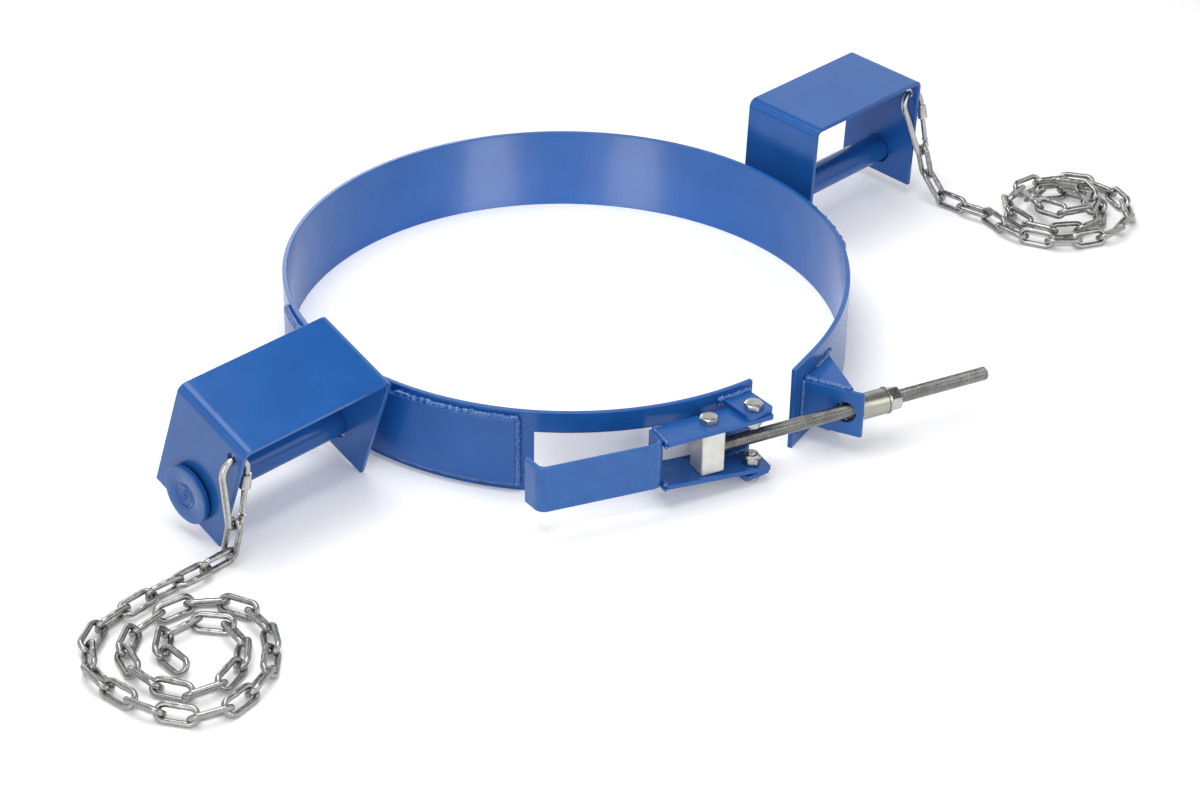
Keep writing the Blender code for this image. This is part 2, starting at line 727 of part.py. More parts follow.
def make_pivot_bolts(assembly):
    """Each lug has its own short bolt, so that the rod can pass between them."""
    place = (*PIVOT_AT, 0)
    upper_nut_top = UPPER_PLATE_TOP - PLATE_THICK - CLEAR
    upper_head = LUG_TOP + CLEAR
    length = upper_head - upper_nut_top + PIVOT_NUT_THICK + PIVOT_BOLT_SHOWS
    bolt = hex_head_bolt("pivot_bolt_upper", BOLT_HEAD_THICK, BOLT_R, length)
    bolt.transform(Matrix.Translation((0, 0, upper_head)))
    assembly.add("pivot_bolt_upper", bolt, ZINC, None, place, (0, 0, LATCH_TURN))
    nut = hex_nut("pivot_nut_upper", BOLT_HEAD_FLATS, PIVOT_NUT_THICK, BOLT_R + CLEAR, 0.003)
    nut.transform(Matrix.Translation((0, 0, upper_nut_top)) @ Matrix.Rotation(math.pi, 4, "X"))
    assembly.add("pivot_nut_upper", nut, ZINC, None, place, (0, 0, LATCH_TURN))

    nut_corner = BOLT_HEAD_FLATS / math.sqrt(3)
    lower_head = LUG_BASE - CLEAR
    lower_nut = lower_plate_level(-nut_corner) + PLATE_THICK + CLEAR
    length = lower_nut + PIVOT_NUT_THICK + PIVOT_BOLT_SHOWS - lower_head
    bolt = hex_head_bolt("pivot_bolt_lower", BOLT_HEAD_THICK, BOLT_R, length)
    bolt.transform(Matrix.Translation((0, 0, lower_head)) @ Matrix.Rotation(math.pi, 4, "X"))
    assembly.add("pivot_bolt_lower", bolt, ZINC, None, place, (0, 0, LATCH_TURN))
    nut = hex_nut("pivot_nut_lower", BOLT_HEAD_FLATS, PIVOT_NUT_THICK, BOLT_R + CLEAR, 0.003)
    nut.transform(Matrix.Translation((0, 0, lower_nut)))
    assembly.add("pivot_nut_lower", nut, ZINC, None, place, (0, 0, LATCH_TURN + 12))


def make_trunnion(assembly, swing):
    """The square block that the rod screws into, turning between the lever plates on two bolts."""
    half = BLOCK_SIDE / 2
    cut = BLOCK_CHAMFER
    outline = []
    for x, y in ((1, 1), (-1, 1), (-1, -1), (1, -1)):
        first = Vector((x * half, y * (half - cut)))
        second = Vector((x * (half - cut), y * half))
        outline += [first, second] if x * y > 0 else [second, first]
    base = lower_plate_level(TRUNNION_U - half) + PLATE_THICK + BLOCK_TO_PLATE
    top = UPPER_PLATE_TOP - PLATE_THICK - BLOCK_TO_PLATE
    block = assembly.add("trunnion_block", prism("trunnion_block", outline, base, top), PALE_ZINC, swing)
    drill_depth = ROD_IN_BLOCK + CLEAR
    drill = turned("rod_socket", rod_profile(ROD_R + CLEAR, -drill_depth, BLOCK_SIDE), 16)
    assembly.cut(block, "rod_socket", drill, (0, 0, ROD_Z), (0, 90, 0))
    depth = TRUNNION_BOLT_DEPTH + 0.001
    for end, low, high in (("upper", top - depth, top + 0.01), ("lower", base - 0.01, base + depth)):
        tap = turned(f"trunnion_tap_{end}", rod_profile(BOLT_R + CLEAR, low, high), 12)
        assembly.cut(block, f"trunnion_tap_{end}", tap)

    head = UPPER_PLATE_TOP + CLEAR
    bolt = hex_head_bolt("trunnion_bolt_upper", BOLT_HEAD_THICK, BOLT_R, head - top + TRUNNION_BOLT_DEPTH)
    bolt.transform(Matrix.Translation((0, 0, head)) @ Matrix.Rotation(0.4, 4, "Z"))
    assembly.add("trunnion_bolt_upper", bolt, ZINC, swing)
    head = lower_plate_level(TRUNNION_U + BOLT_HEAD_FLATS / math.sqrt(3)) - CLEAR
    bolt = hex_head_bolt("trunnion_bolt_lower", BOLT_HEAD_THICK, BOLT_R, base - head + TRUNNION_BOLT_DEPTH)
    bolt.transform(Matrix.Translation((0, 0, head)) @ Matrix.Rotation(math.pi, 4, "X"))
    assembly.add("trunnion_bolt_lower", bolt, ZINC, swing)


# ---------------------------------------------------------------- drawbar


def make_rod(assembly, swing):
    start = BLOCK_SIDE / 2 - ROD_IN_BLOCK
    profile = rod_profile(ROD_R, start, ROD_END_U - TRUNNION_U, ROD_CHAMFER)
    rod = turned("threaded_rod", profile, 16)
    assembly.add("threaded_rod", rod, ZINC, swing, (0, 0, ROD_Z), (0, 90, 0))


def rod_lug_frame():
    """Where the rod crosses the lug plate, the plate's run away from the ring, and its far side."""
    along = direction(LATCH_TURN)
    across = direction(LATCH_TURN + 90)
    hole = Vector(PIVOT_AT) + ROD_LUG_U * along + TRUNNION_V * across
    return hole, direction(ROD_LUG_TURN - 90), direction(ROD_LUG_TURN)


def meet(point, run, wall_point, wall_normal):
    """Where a line through the point meets a straight wall."""
    return point + run * (wall_point - point).dot(wall_normal) / run.dot(wall_normal)


def make_rod_lug(assembly):
    """A plate welded square to the band's flat end, with a wide hole that lets the rod swing."""
    hole, outwards, far = rod_lug_frame()
    wall, _, normal = flat_end_line()
    wall = wall + normal * CLEAR
    half = far * ROD_LUG_THICK / 2
    tip = hole + outwards * ROD_LUG_BEYOND
    chamfer = 0.0015
    outline = [
        meet(hole - half, outwards, wall, normal),
        tip - half - outwards * chamfer,
        tip - half + far * chamfer,
        tip + half - far * chamfer,
        tip + half - outwards * chamfer,
        meet(hole + half, outwards, wall, normal),
    ]
    low = ROD_LUG_BOTTOM
    mesh = prism("rod_lug_plate", outline, low, low + ROD_LUG_HEIGHT)
    plate = assembly.add("rod_lug_plate", mesh, BLUE_PAINT)
    soften(plate, 0.0005)
    drill = turned("rod_lug_hole", rod_profile(ROD_LUG_HOLE_R, -0.02, 0.02), 20)
    assembly.cut(plate, "rod_lug_hole", drill, (*hole, ROD_Z), (0, 90, ROD_LUG_TURN))


def make_gussets(assembly):
    """Corner plates behind the lug, one at its top and one at its bottom, following the band."""
    hole, outwards, far = rod_lug_frame()
    wall, run, normal = flat_end_line()
    face = hole + far * (ROD_LUG_THICK / 2 + CLEAR)
    corner = meet(face, outwards, wall + normal * CLEAR, normal)
    outline = [corner, corner + outwards * GUSSET_ALONG_LUG]
    # back along the band: first its flat end, then the easing arc
    flat_left = (corner - wall - normal * CLEAR).dot(run)
    outer_r = BAND_EASE_R + BAND_THICK / 2 + CLEAR
    centre = (BAND_MID_R - BAND_EASE_R) * direction(BAND_EASE_FROM)
    sweep = math.degrees((GUSSET_ALONG_RING - flat_left) / outer_r)
    outline += list(reversed(arc(centre, outer_r, BAND_FLAT_TURN, BAND_FLAT_TURN + sweep, 2.2)))
    tip = outline[1]
    outline[1] = tip - outwards * 0.003
    outline.insert(2, tip + far * 0.003)
    low = ROD_LUG_BOTTOM
    high = ROD_LUG_BOTTOM + ROD_LUG_HEIGHT - GUSSET_THICK
    for name, level in (("rod_gusset_lower", low), ("rod_gusset_upper", high)):
        mesh = prism(name, outline, level, level + GUSSET_THICK)
        assembly.add(name, mesh, BLUE_PAINT)


def make_rod_stack(assembly, adjuster):
    """Spacer tube, washer and nut. The tube's near end is cut close to the slope of the lug plate."""
    lug = ROD_LUG_U - TRUNNION_U
    slope = math.tan(math.radians(TUBE_MITRE))
    face = lug + (ROD_LUG_THICK / 2 + SEAT_CLEAR) / math.cos(ROD_LUG_RELATIVE)
    end = TUBE_END_U - TRUNNION_U
    tube = turned("spacer_tube", sleeve_profile(TUBE_R, TUBE_BORE_R, 0.0, end, 0.0), 24)
    # drawn standing on Z, then laid along the rod: its Y stays across the rod
    for vertex in tube.vertices:
        if vertex.co.z < end / 2:
            vertex.co.z = face - vertex.co.y * slope
    place = (0, 0, ROD_Z)
    lay = (0, 90, 0)
    assembly.add("spacer_tube", tube, ZINC, adjuster, place, lay)
    washer = sleeve_profile(WASHER_R, TUBE_BORE_R, end + CLEAR, end + CLEAR + WASHER_THICK)
    assembly.add("rod_washer", turned("rod_washer", washer, 24), ZINC, adjuster, place, lay)
    nut = hex_nut("rod_nut", NUT_FLATS, NUT_THICK, ROD_R + CLEAR)
    nut.transform(Matrix.Translation((0, 0, end + 2 * CLEAR + WASHER_THICK)))
    assembly.add("rod_nut", nut, ZINC, adjuster, place, lay)


# ---------------------------------------------------------------- snap hooks


def hook_circles():
    """The centres of the hook's upper bow and foot, and the angles where its straight sides touch them."""
    top = Vector((0.0, -HOOK_TOP_R))
    foot = Vector((HOOK_FOOT_A, HOOK_FOOT_R - HOOK_LENGTH))
    gap = top - foot
    lean = math.degrees(math.atan2(gap.y, gap.x))
    spread = math.degrees(math.acos((HOOK_FOOT_R - HOOK_TOP_R) / gap.length))
    return top, foot, lean - spread, lean + spread


def hook_drop():
    """How far the bow's wire lies below the middle of the hole that it hangs in."""
    return HOOK_HOLE_R - HOOK_WIRE_R - 4 * CLEAR


def gate_line():
    """The gate's pivot and tip in the hook's plane."""
    top, foot, _, gate_side = hook_circles()
    upper = top + HOOK_TOP_R * direction(gate_side)
    lower = foot + HOOK_FOOT_R * direction(gate_side)
    up = (upper - lower).normalized()
    pivot = lower + up * (HOOK_KNUCKLE + GATE_R + CLEAR)
    tip = upper - up * (HOOK_NOSE + CLEAR)
    return pivot, tip, up


def in_hook_plane(side, point):
    """From the hook's (a, d) to the frame of its swing axis: a runs towards -X."""
    turn = Matrix.Rotation(math.radians(-HOOK_TURN[side]), 3, "Y")
    return turn @ Vector((-point[0], 0.0, point[1])) - Vector((0, 0, hook_drop()))


def hook_path(side):
    """The middle of the hook's wire from its nose round the bow, down the spine and up to the knuckle."""
    top, foot, spine_side, gate_side = hook_circles()
    pivot, tip, up = gate_line()
    path = [tip + up * CLEAR]
    path += arc(top, HOOK_TOP_R, gate_side, spine_side, 22)
    path += arc(foot, HOOK_FOOT_R, spine_side, gate_side - 360, 26)
    path.append(pivot - up * (GATE_R + CLEAR))
    return [in_hook_plane(side, point) for point in path]


def make_hook(assembly, side, swing, gate_axis):
    pivot, tip, _ = gate_line()
    wire(f"snap_hook_{side}", hook_path(side), HOOK_WIRE_R, ZINC, assembly, swing)

    length = (tip - pivot).length
    neck = GATE_R * math.sin(math.pi / 4)
    profile = [(0, -GATE_R), (neck, -neck), (GATE_R, 0), (GATE_R, length)]
    assembly.add(f"hook_gate_{side}", turned(f"hook_gate_{side}", profile, 10), ZINC, gate_axis)
    high = length - COLLAR_BELOW_TIP
    collar = sleeve_profile(COLLAR_R, COLLAR_BORE_R, high - COLLAR_LENGTH, high, 0.0008)
    assembly.add(f"hook_collar_{side}", turned(f"hook_collar_{side}", collar, 16), ZINC, gate_axis)


# ---------------------------------------------------------------- chain


def link_mesh(name, start, end, across, slack, sides=8, bow_steps=7):
    """One link between the two points where its neighbours bear on it.

    Its wire follows two half circles joined by straight sides. across is the way its width points, and
    slack is what its inside gains at its two ends beyond bearing exactly on its neighbours.
    """
    axis = (end - start).normalized()
    across = (across - axis * across.dot(axis)).normalized()
    normal = axis.cross(across)
    middle = (start + end) / 2
    bow_r = CHAIN_WIDTH / 2 - CHAIN_WIRE_R
    build = bmesh.new()
    rings = []
    for sign in (1, -1):
        half = (end - start).length / 2 + CHAIN_WIRE_R + slack[sign < 0] - bow_r
        for i in range(bow_steps):
            angle = math.pi * i / (bow_steps - 1)
            side = math.cos(angle) * sign
            ahead = math.sin(angle) * sign
            centre = middle + axis * (half * sign + bow_r * ahead) + across * bow_r * side
            outward = axis * ahead + across * side
            ring = []
            for k in range(sides):
                turn = 2 * math.pi * (k + 0.5) / sides
                offset = outward * math.cos(turn) + normal * math.sin(turn)
                ring.append(build.verts.new(centre + offset * CHAIN_WIRE_R))
            rings.append(ring)
    for i in range(len(rings)):
        ring = rings[i]
        following = rings[(i + 1) % len(rings)]
        for k in range(sides):
            n = (k + 1) % sides
            build.faces.new((ring[k], ring[n], following[n], following[k]))
    return finished(name, build)


def spline_point(points, place):
    """A point on a smooth curve through the route's points."""
    i = min(int(place), len(points) - 2)
    t = place - i
    a = points[max(i - 1, 0)]
    b, c = points[i], points[i + 1]
    d = points[min(i + 2, len(points) - 1)]
    return 0.5 * (
        2 * b + (c - a) * t + (2 * a - 5 * b + 4 * c - d) * t**2 + (3 * b - a - 3 * c + d) * t**3
    )


def bearings(points):
    """Points a chain pitch apart along the route: where each link bears on the next."""
    found = [points[0]]
    place = 0.0
    last = len(points) - 1
    while place < last:
        place += 0.01
        point = spline_point(points, min(place, last))
        if (point - found[-1]).length >= CHAIN_PITCH:
            found.append(point)
    return found


def link_across(side, index, axis, heading):
    """The way a link's width points, from its roll out of the level."""
    level = Vector((0, 0, 1)).cross(axis)
    if level.length < 0.2:
        level = Vector((0, 0, 1)).cross(heading)
    level = (level - axis * level.dot(axis)).normalized()
    climb = axis.cross(level)
    roll = math.radians(chain_roll(side, index))
    return level * math.cos(roll) + climb * math.sin(roll)


def chain_roll(side, index):
    """Roll of a link: the first ones hang or lean, and the rest lie at 45 degrees either way."""
    first = CHAIN_FIRST_ROLLS[side]
    if index < len(first):
        return first[index]
    return 45.0 if index % 2 else -45.0


def lying_height(side, index):
    """Height of a link's middle line when its wire rests on the floor at this roll."""
    half = CHAIN_WIDTH / 2 - CHAIN_WIRE_R
    return CHAIN_WIRE_R + half * abs(math.sin(math.radians(chain_roll(side, index)))) + CHAIN_LIFT


def chain_joints(side, first):
    """The middle of each link's wire where the next link hangs on it, starting in the hook's foot."""
    hanging = CHAIN_HANGING[side]
    points = [first]
    for heading in CHAIN_HEADINGS[side]:
        drop = heading[2]
        if drop is None:
            drop = points[-1].z - lying_height(side, hanging) + CHAIN_SAG[side]
        reach = CHAIN_PITCH + (0.0 if len(points) > 1 else 2 * CHAIN_WIRE_R)
        run = Vector(heading[:2]).normalized() * math.sqrt(reach**2 - drop**2)
        points.append(points[-1] + Vector((run.x, run.y, -drop)))
    points[0] = points[0].lerp(points[1], 2 * CHAIN_WIRE_R / (CHAIN_PITCH + 2 * CHAIN_WIRE_R))
    points += [Vector(p) for p in CHAIN_ROUTE[side]]
    joints = bearings(points)
    for i in range(hanging + 1, len(joints)):
        rest = max(lying_height(side, max(i - 1, hanging)), lying_height(side, i))
        joints[i].z = max(joints[i].z, rest)
    return joints


def make_chain(assembly, side, first):
    """The hanging and leading links are pieces of their own, and the laid rest is one fused body."""
    joints = chain_joints(side, first)
    axes = [(b - a).normalized() for a, b in zip(joints, joints[1:])]
    last = len(axes) - 1
    widths = [link_across(side, i, a, axes[min(i + 1, last)]) for i, a in enumerate(axes)]

    def link(name, i, room, sides, steps):
        back = axes[i] * CHAIN_WIRE_R
        start = joints[i] - back
        if i:
            # the joint bends about the wire of the link whose width lies nearer to the bend's axis
            bend = axes[i - 1].cross(axes[i])
            if abs(bend.dot(widths[i])) > abs(bend.dot(widths[i - 1])):
                start += 2 * back - 2 * CHAIN_WIRE_R * axes[i - 1]
        if i == CHAIN_HANGING[side]:
            start.z += CHAIN_SAG[side]
        return link_mesh(name, start, joints[i + 1] - back, widths[i], room, sides, steps)

    for i in range(CHAIN_SEPARATE_LINKS):
        name = f"chain_{side}_link_{i + 1}"
        start_room = 0.0 if i == 0 else LINK_SLACK
        assembly.add(name, link(name, i, (LINK_SLACK, start_room), 8, 7), ZINC)
    name = f"chain_{side}_laid"
    body = None
    for i in range(CHAIN_SEPARATE_LINKS, last + 1):
        start_room = LINK_SLACK if i == CHAIN_SEPARATE_LINKS else -CHAIN_FUSE / 2
        mesh = link(f"{name}_{i}", i, (-CHAIN_FUSE / 2, start_room), 5, 5)
        if body is None:
            body = assembly.add(name, mesh, ZINC)
            others = bpy.data.collections.new(f"{name}_links")
            assembly.cutters.children.link(others)
            continue
        more = bpy.data.objects.new(f"{name}_{i}", mesh)
        more.parent = assembly.root
        more.hide_render = True
        more.display_type = "WIRE"
        others.objects.link(more)
    step = body.modifiers.new("laid_links", "BOOLEAN")
    step.operation = "UNION"
    step.solver = "EXACT"
    step.operand_type = "COLLECTION"
    step.collection = others


# ---------------------------------------------------------------- the part


def hook_lean(side):
    """How far the hook leans from straight down. It leans when it rests on the cheek's front edge."""
    if side == "left":
        return 0.0
    half = SLEEVE_THICK / 2
    room = HOOK_WIRE_R + 2 * CLEAR
    path = hook_path(side)
    needed = 0.0
    for before, after in zip(path, path[1:]):
        for i in range(9):
            point = before.lerp(after, i / 8)
            aside = max(abs(point.x) - half, 0.0)
            if point.z > -0.4 * HOOK_LENGTH or aside > room:
                continue
            reach = HOOK_HOLE_FROM_FRONT + math.sqrt(room**2 - aside**2)
            needed = max(needed, math.degrees(math.asin(min(reach / -point.z, 1.0))))
    return needed - SLEEVE_TILT[side]


def make_sleeve_side(assembly, side):
    tilt = SLEEVE_TILT[side]
    axis = assembly.axis(f"sleeve_axis_{side}", assembly.root, (0, AXLE_Y, AXLE_Z - sleeve_drop()), (tilt, 0, 0))
    make_sleeve(assembly, side, axis)
    hole = hook_hole(side)
    lean = hook_lean(side)
    swing = assembly.axis(f"hook_swing_{side}", axis, hole, (-tilt - lean, 0, 0))
    pivot, _, up = gate_line()
    gate_turn = math.degrees(math.atan2(-up.x, up.y)) - HOOK_TURN[side]
    gate_axis = assembly.axis(f"gate_axis_{side}", swing, in_hook_plane(side, pivot), (0, gate_turn, 0))
    make_hook(assembly, side, swing, gate_axis)
    # the first link hangs in the hook's foot
    _, foot, _, _ = hook_circles()
    aside = CHAIN_ASIDE[side]
    rise = HOOK_FOOT_R - math.sqrt(HOOK_FOOT_R**2 - aside**2) + HOOK_WIRE_R + CHAIN_WIRE_R + CLEAR
    bearing = in_hook_plane(side, (foot.x - aside, foot.y - HOOK_FOOT_R + rise))
    to_world = Matrix.Translation(axis.location) @ Euler((math.radians(tilt), 0, 0)).to_matrix().to_4x4()
    to_swing = Matrix.Translation(hole) @ Euler((math.radians(-tilt - lean), 0, 0)).to_matrix().to_4x4()
    make_chain(assembly, side, (to_world @ to_swing) @ bearing)


def centre_on_base(assembly):
    """Moves the whole part so that the origin is the middle of its base, hooks and chains left out."""
    bpy.context.view_layer.update()
    graph = bpy.context.evaluated_depsgraph_get()
    low = Vector((1e9, 1e9, 1e9))
    high = -low
    for piece in assembly.pieces.objects:
        if piece.type == "EMPTY" or piece.name.startswith(("chain", "snap_hook", "hook_")):
            continue
        shape = piece.evaluated_get(graph)
        mesh = shape.to_mesh()
        for vertex in mesh.vertices:
            place = shape.matrix_world @ vertex.co
            low = Vector(map(min, low, place))
            high = Vector(map(max, high, place))
        shape.to_mesh_clear()
    assembly.root.location = (-(low.x + high.x) / 2, -(low.y + high.y) / 2, -low.z)


def main():
    remove_everything()
    assembly = Assembly()
    make_band(assembly)
    for side in ("left", "right"):
        make_doubler(assembly, side)
        make_axle(assembly, side)
        make_sleeve_side(assembly, side)
    make_lug(assembly, "latch_lug_upper", LUG_TOP - LUG_THICK)
    make_lug(assembly, "latch_lug_lower", LUG_BASE)
    pivot = assembly.axis("latch_pivot", assembly.root, (*PIVOT_AT, 0), (0, 0, LATCH_TURN))
    make_lever_plates(assembly, pivot)
    make_handle(assembly, pivot)
    make_pivot_bolts(assembly)
    swing = assembly.axis("trunnion_axis", pivot, (TRUNNION_U, TRUNNION_V, 0))
    make_trunnion(assembly, swing)
    make_rod(assembly, swing)
    make_rod_lug(assembly)
    make_gussets(assembly)
    make_rod_stack(assembly, swing)
    centre_on_base(assembly)


main()
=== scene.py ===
"""Drum lifter: the looks of the clamp ring, its latch, the fork sleeves and their safety chains."""

import math

import bmesh
import bpy
import numpy as np
from mathutils import Euler, Matrix, Vector


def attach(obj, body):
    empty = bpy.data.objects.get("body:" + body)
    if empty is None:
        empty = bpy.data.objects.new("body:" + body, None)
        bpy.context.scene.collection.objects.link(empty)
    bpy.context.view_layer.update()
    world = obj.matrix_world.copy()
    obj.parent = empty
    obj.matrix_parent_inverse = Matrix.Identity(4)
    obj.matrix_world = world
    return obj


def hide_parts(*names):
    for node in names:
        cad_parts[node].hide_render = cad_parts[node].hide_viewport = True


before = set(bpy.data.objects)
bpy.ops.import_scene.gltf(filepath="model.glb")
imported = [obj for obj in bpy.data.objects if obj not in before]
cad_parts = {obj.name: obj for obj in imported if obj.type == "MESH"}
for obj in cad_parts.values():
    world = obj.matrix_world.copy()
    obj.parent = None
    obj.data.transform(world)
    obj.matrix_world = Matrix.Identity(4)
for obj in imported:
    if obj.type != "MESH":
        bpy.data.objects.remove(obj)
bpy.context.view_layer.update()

# ---------------------------------------------------------------- sizes
# The same sizes as in the part's source, in metres and degrees. Angles in the floor plane run from +X
# towards +Y round the ring's own axis.

RING_Y = 0.057066  # the ring's axis lies this far behind the part's origin
CLEAR = 0.0003  # between pieces that touch

BORE_R = 0.2925
BAND_THICK = 0.005
BAND_HEIGHT = 0.092
BAND_MID_R = BORE_R + BAND_THICK / 2
BAND_OUTER_R = BORE_R + BAND_THICK
BAND_LEFT_END = 262.8  # the end that carries the lever
BAND_EASE_FROM = 315.0  # where the other arm starts to leave the circle
BAND_EASE_R = 0.350
BAND_FLAT_TURN = 284.5  # the angle that the easing arc reaches before the flat end
BAND_FLAT_LENGTH = 0.0446

DOUBLER_MIDDLE = 3.9  # from the axle line towards the latch
DOUBLER_SPAN = 63.0
DOUBLER_THICK = 0.006
DOUBLER_LOW = 0.010
DOUBLER_HIGH = 0.084
DOUBLER_SEAMS = ((0.0, 24.0), (39.0, 63.0))  # welded stretches of its long edges, from its front end
DOUBLER_MID_R = BAND_OUTER_R + CLEAR + DOUBLER_THICK / 2
DOUBLER_OUTER_R = BAND_OUTER_R + CLEAR + DOUBLER_THICK

AXLE_R = 0.016
AXLE_Y = -0.008
AXLE_Z = 0.046
CAP_R = 0.030
CAP_THICK = 0.006
CAP_INNER_X = 0.514
CAP_EDGE = 0.0012
PLUG_SUNK = 0.0015  # from the cap's face down to the axle's end
PLUG_RIPPLE = 0.0034

SLEEVE_INNER_X = 0.3275
SLEEVE_WIDTH = 0.1835
SLEEVE_DEPTH = 0.099
SLEEVE_ABOVE = 0.1065
SLEEVE_BELOW = 0.0292
SLEEVE_THICK = 0.005
SLEEVE_BEND_R = 0.0065
SLEEVE_HOLE_R = 0.0175
SLEEVE_HANGS = 0.0012  # how far its hole's middle hangs below the axle's
SLEEVE_TILT = {"left": 20.4, "right": 2.0}
CHEEK_X = SLEEVE_INNER_X + SLEEVE_WIDTH - SLEEVE_THICK / 2
HOOK_HOLE_R = 0.0063
HOOK_HOLE_Y = -SLEEVE_DEPTH / 2 + 0.0135
HOOK_HOLE_Z = SLEEVE_ABOVE - 0.0195

LATCH_TURN = -18.8
PIVOT = (-0.065, -0.321)
PLATE_THICK = 0.005
PLATE_FRONT = 0.0131
PLATE_BACK = 0.0190
PLATE_RIGHT_U = 0.0165
PLATE_LEFT_U = PLATE_RIGHT_U - 0.1165
PLATE_DROP = 0.090  # how much the lower plate rises for each metre to the left
LUG_TOP = 0.0836
LUG_BASE = 0.0084
LUG_SPAN = (254.9, 261.6)  # the stretch of band that the latch lugs stand on
HANDLE_THICK = 0.005
HANDLE_LOW = 0.0272
HANDLE_HIGH = 0.0772
HANDLE_CORNER_V = -0.0087
HANDLE_REACH = 0.1267
HANDLE_LEAN = 5.3
HANDLE_HOOK = 0.0237
HANDLE_HOOK_TURN = 77.0
HANDLE_BEND_R = 0.009
TRUNNION = (-0.047, 0.0045)
TRUNNION_HALF = 0.0125
TRUNNION_PLAY = 0.0006
BOLT_R = 0.005
BOLT_FLATS = 0.017
BOLT_HEAD = 0.0064
BOLT_REACH = 0.012  # past the plate that it holds
BOLT_PITCH = 0.0015
LOCKNUT_THICK = 0.007
LOCKNUT_COLLAR = 0.003

ROD_R = 0.007
ROD_PITCH = 0.002
ROD_Z = 0.047
ROD_START = 0.0035
ROD_END = 0.2757 - TRUNNION[0]
ROD_LUG_U = 0.1101
ROD_LUG_TURN = 19.0
ROD_LUG_THICK = 0.005
ROD_LUG_LOW = 0.0213
ROD_LUG_HIGH = 0.0713
TUBE_R = 0.0132
TUBE_BORE_R = 0.0078
TUBE_END = 0.1548 - TRUNNION[0]
TUBE_MITRE = 34.0
TUBE_SEAT = 0.0040
WASHER_R = 0.014
WASHER_THICK = 0.0025
NUT_FLATS = 0.022
NUT_THICK = 0.012

HOOK_WIRE_R = 0.0035
HOOK_TOP_R = 0.0145
HOOK_FOOT_R = 0.008
HOOK_FOOT_A = 0.003
HOOK_LENGTH = 0.0740
HOOK_TURN = {"left": 0.0, "right": 7.5}
HOOK_LEAN = {"left": 0.0, "right": 16.156}
GATE_R = 0.0030
GATE_INSET = 0.003
COLLAR_R = 0.0057
COLLAR_BORE_R = 0.0031
COLLAR_LENGTH = 0.016
KNURL_DEPTH = 0.00035

LABEL_SPAN = (218.8, 250.6)
LABEL_LOW = 0.0285
LABEL_HIGH = 0.0700

CHAIN_WIRE_R = 0.003
CHAIN_PITCH = 0.031
CHAIN_WIDTH = 0.021
LINK_SLACK = 0.0004  # play between one link and the next
CHAIN_LIFT = 0.0002  # under the links that lie on the floor
FIRST_ROLLS = {  # each link's roll about its own length, from the hook on
    "left": (0, 80, -8, 76, -18, 66, -28, 56, -36),
    "right": (110, -10, 80, -8, 76, -18, 66, -28, 56, -36),
}
CHAIN_ASIDE = {"left": 0.0, "right": 0.0005}  # where the first link rides on the hook's foot
CHAIN_HANGING = {"left": 1, "right": 2}  # links before the first that lies on the floor
CHAIN_SAG = {"left": 0.0009, "right": 0.0002}  # of the last hanging link's wire below the next link's middle
CHAIN_HEADINGS = {  # the way that each hanging link runs, and how far it drops where that isn't to the floor
    "left": [(-1.0, -0.1, None)],
    "right": [(0.2, -0.98, 0.0355), (-0.05, -1.0, None)],
}
FLOOR_HEIGHT = 0.0085  # of the route's points that give no height
CHAIN_ROUTE = {  # the cords' routes in the ring's own frame, from the part's source
    "left": [
        (-0.5700, -0.0730), (-0.6040, -0.0710), (-0.6370, -0.0720), (-0.6700, -0.0745),
        (-0.6980, -0.0870), (-0.7160, -0.1110), (-0.7230, -0.1420), (-0.7210, -0.1740),
        (-0.7150, -0.2040), (-0.7010, -0.2310), (-0.6760, -0.2470), (-0.6450, -0.2460),
        (-0.6140, -0.2360), (-0.5870, -0.2130), (-0.5670, -0.1820), (-0.5620, -0.1480),
        (-0.5740, -0.1200), (-0.5980, -0.1020), (-0.6300, -0.0980), (-0.6640, -0.1050),
        (-0.6880, -0.1270), (-0.6940, -0.1580), (-0.6880, -0.1890), (-0.6700, -0.2150),
        (-0.6410, -0.2160), (-0.6130, -0.2030), (-0.5940, -0.1780), (-0.5910, -0.1490),
        (-0.6080, -0.1280), (-0.6350, -0.1240), (-0.6580, -0.1380), (-0.6640, -0.1640),
        (-0.6520, -0.1850), (-0.6300, -0.1830),
    ],
    "right": [
        (0.5160, -0.1250), (0.5230, -0.1520), (0.5200, -0.1790), (0.5100, -0.1990),
        (0.5150, -0.2320), (0.5350, -0.2600), (0.5660, -0.2800), (0.6020, -0.2860),
        (0.6370, -0.2770), (0.6630, -0.2520), (0.6730, -0.2180), (0.6670, -0.1830),
        (0.6430, -0.1580), (0.6090, -0.1460), (0.5750, -0.1520), (0.5490, -0.1730),
        (0.5390, -0.2050), (0.5480, -0.2360), (0.5730, -0.2560), (0.6050, -0.2580),
        (0.6320, -0.2400), (0.6430, -0.2100), (0.6330, -0.1820),
        (0.6060, -0.1730, 0.0110), (0.5790, -0.1790, 0.0190), (0.5590, -0.2000, 0.0260),
        (0.5600, -0.2300, 0.0270), (0.5830, -0.2490, 0.0270), (0.6130, -0.2450, 0.0270),
        (0.6320, -0.2210, 0.0270), (0.6260, -0.1920, 0.0275), (0.6010, -0.1780, 0.0290),
    ],
}

SIGN = {"left": -1.0, "right": 1.0}

CAMERA_LENS = 85.257
CAMERA_RIGHT = (0.6977, -0.7162, 0.0149)
CAMERA_BACK = (-0.6106, -0.5837, 0.5352)
CAMERA_PLACE = (-1.85177, -1.82218 + RING_Y, 1.57279)

GUARD = 0.0004  # from a rounded edge to the row of points that keeps the flat beside it flat
FINE = 0.0005  # a small chamfer, or a small step along a path
WELD_STEP = 0.0006
WELD_RIPPLE = 0.0026
UPWARD = np.array([0.0, 0.0, 1.0])


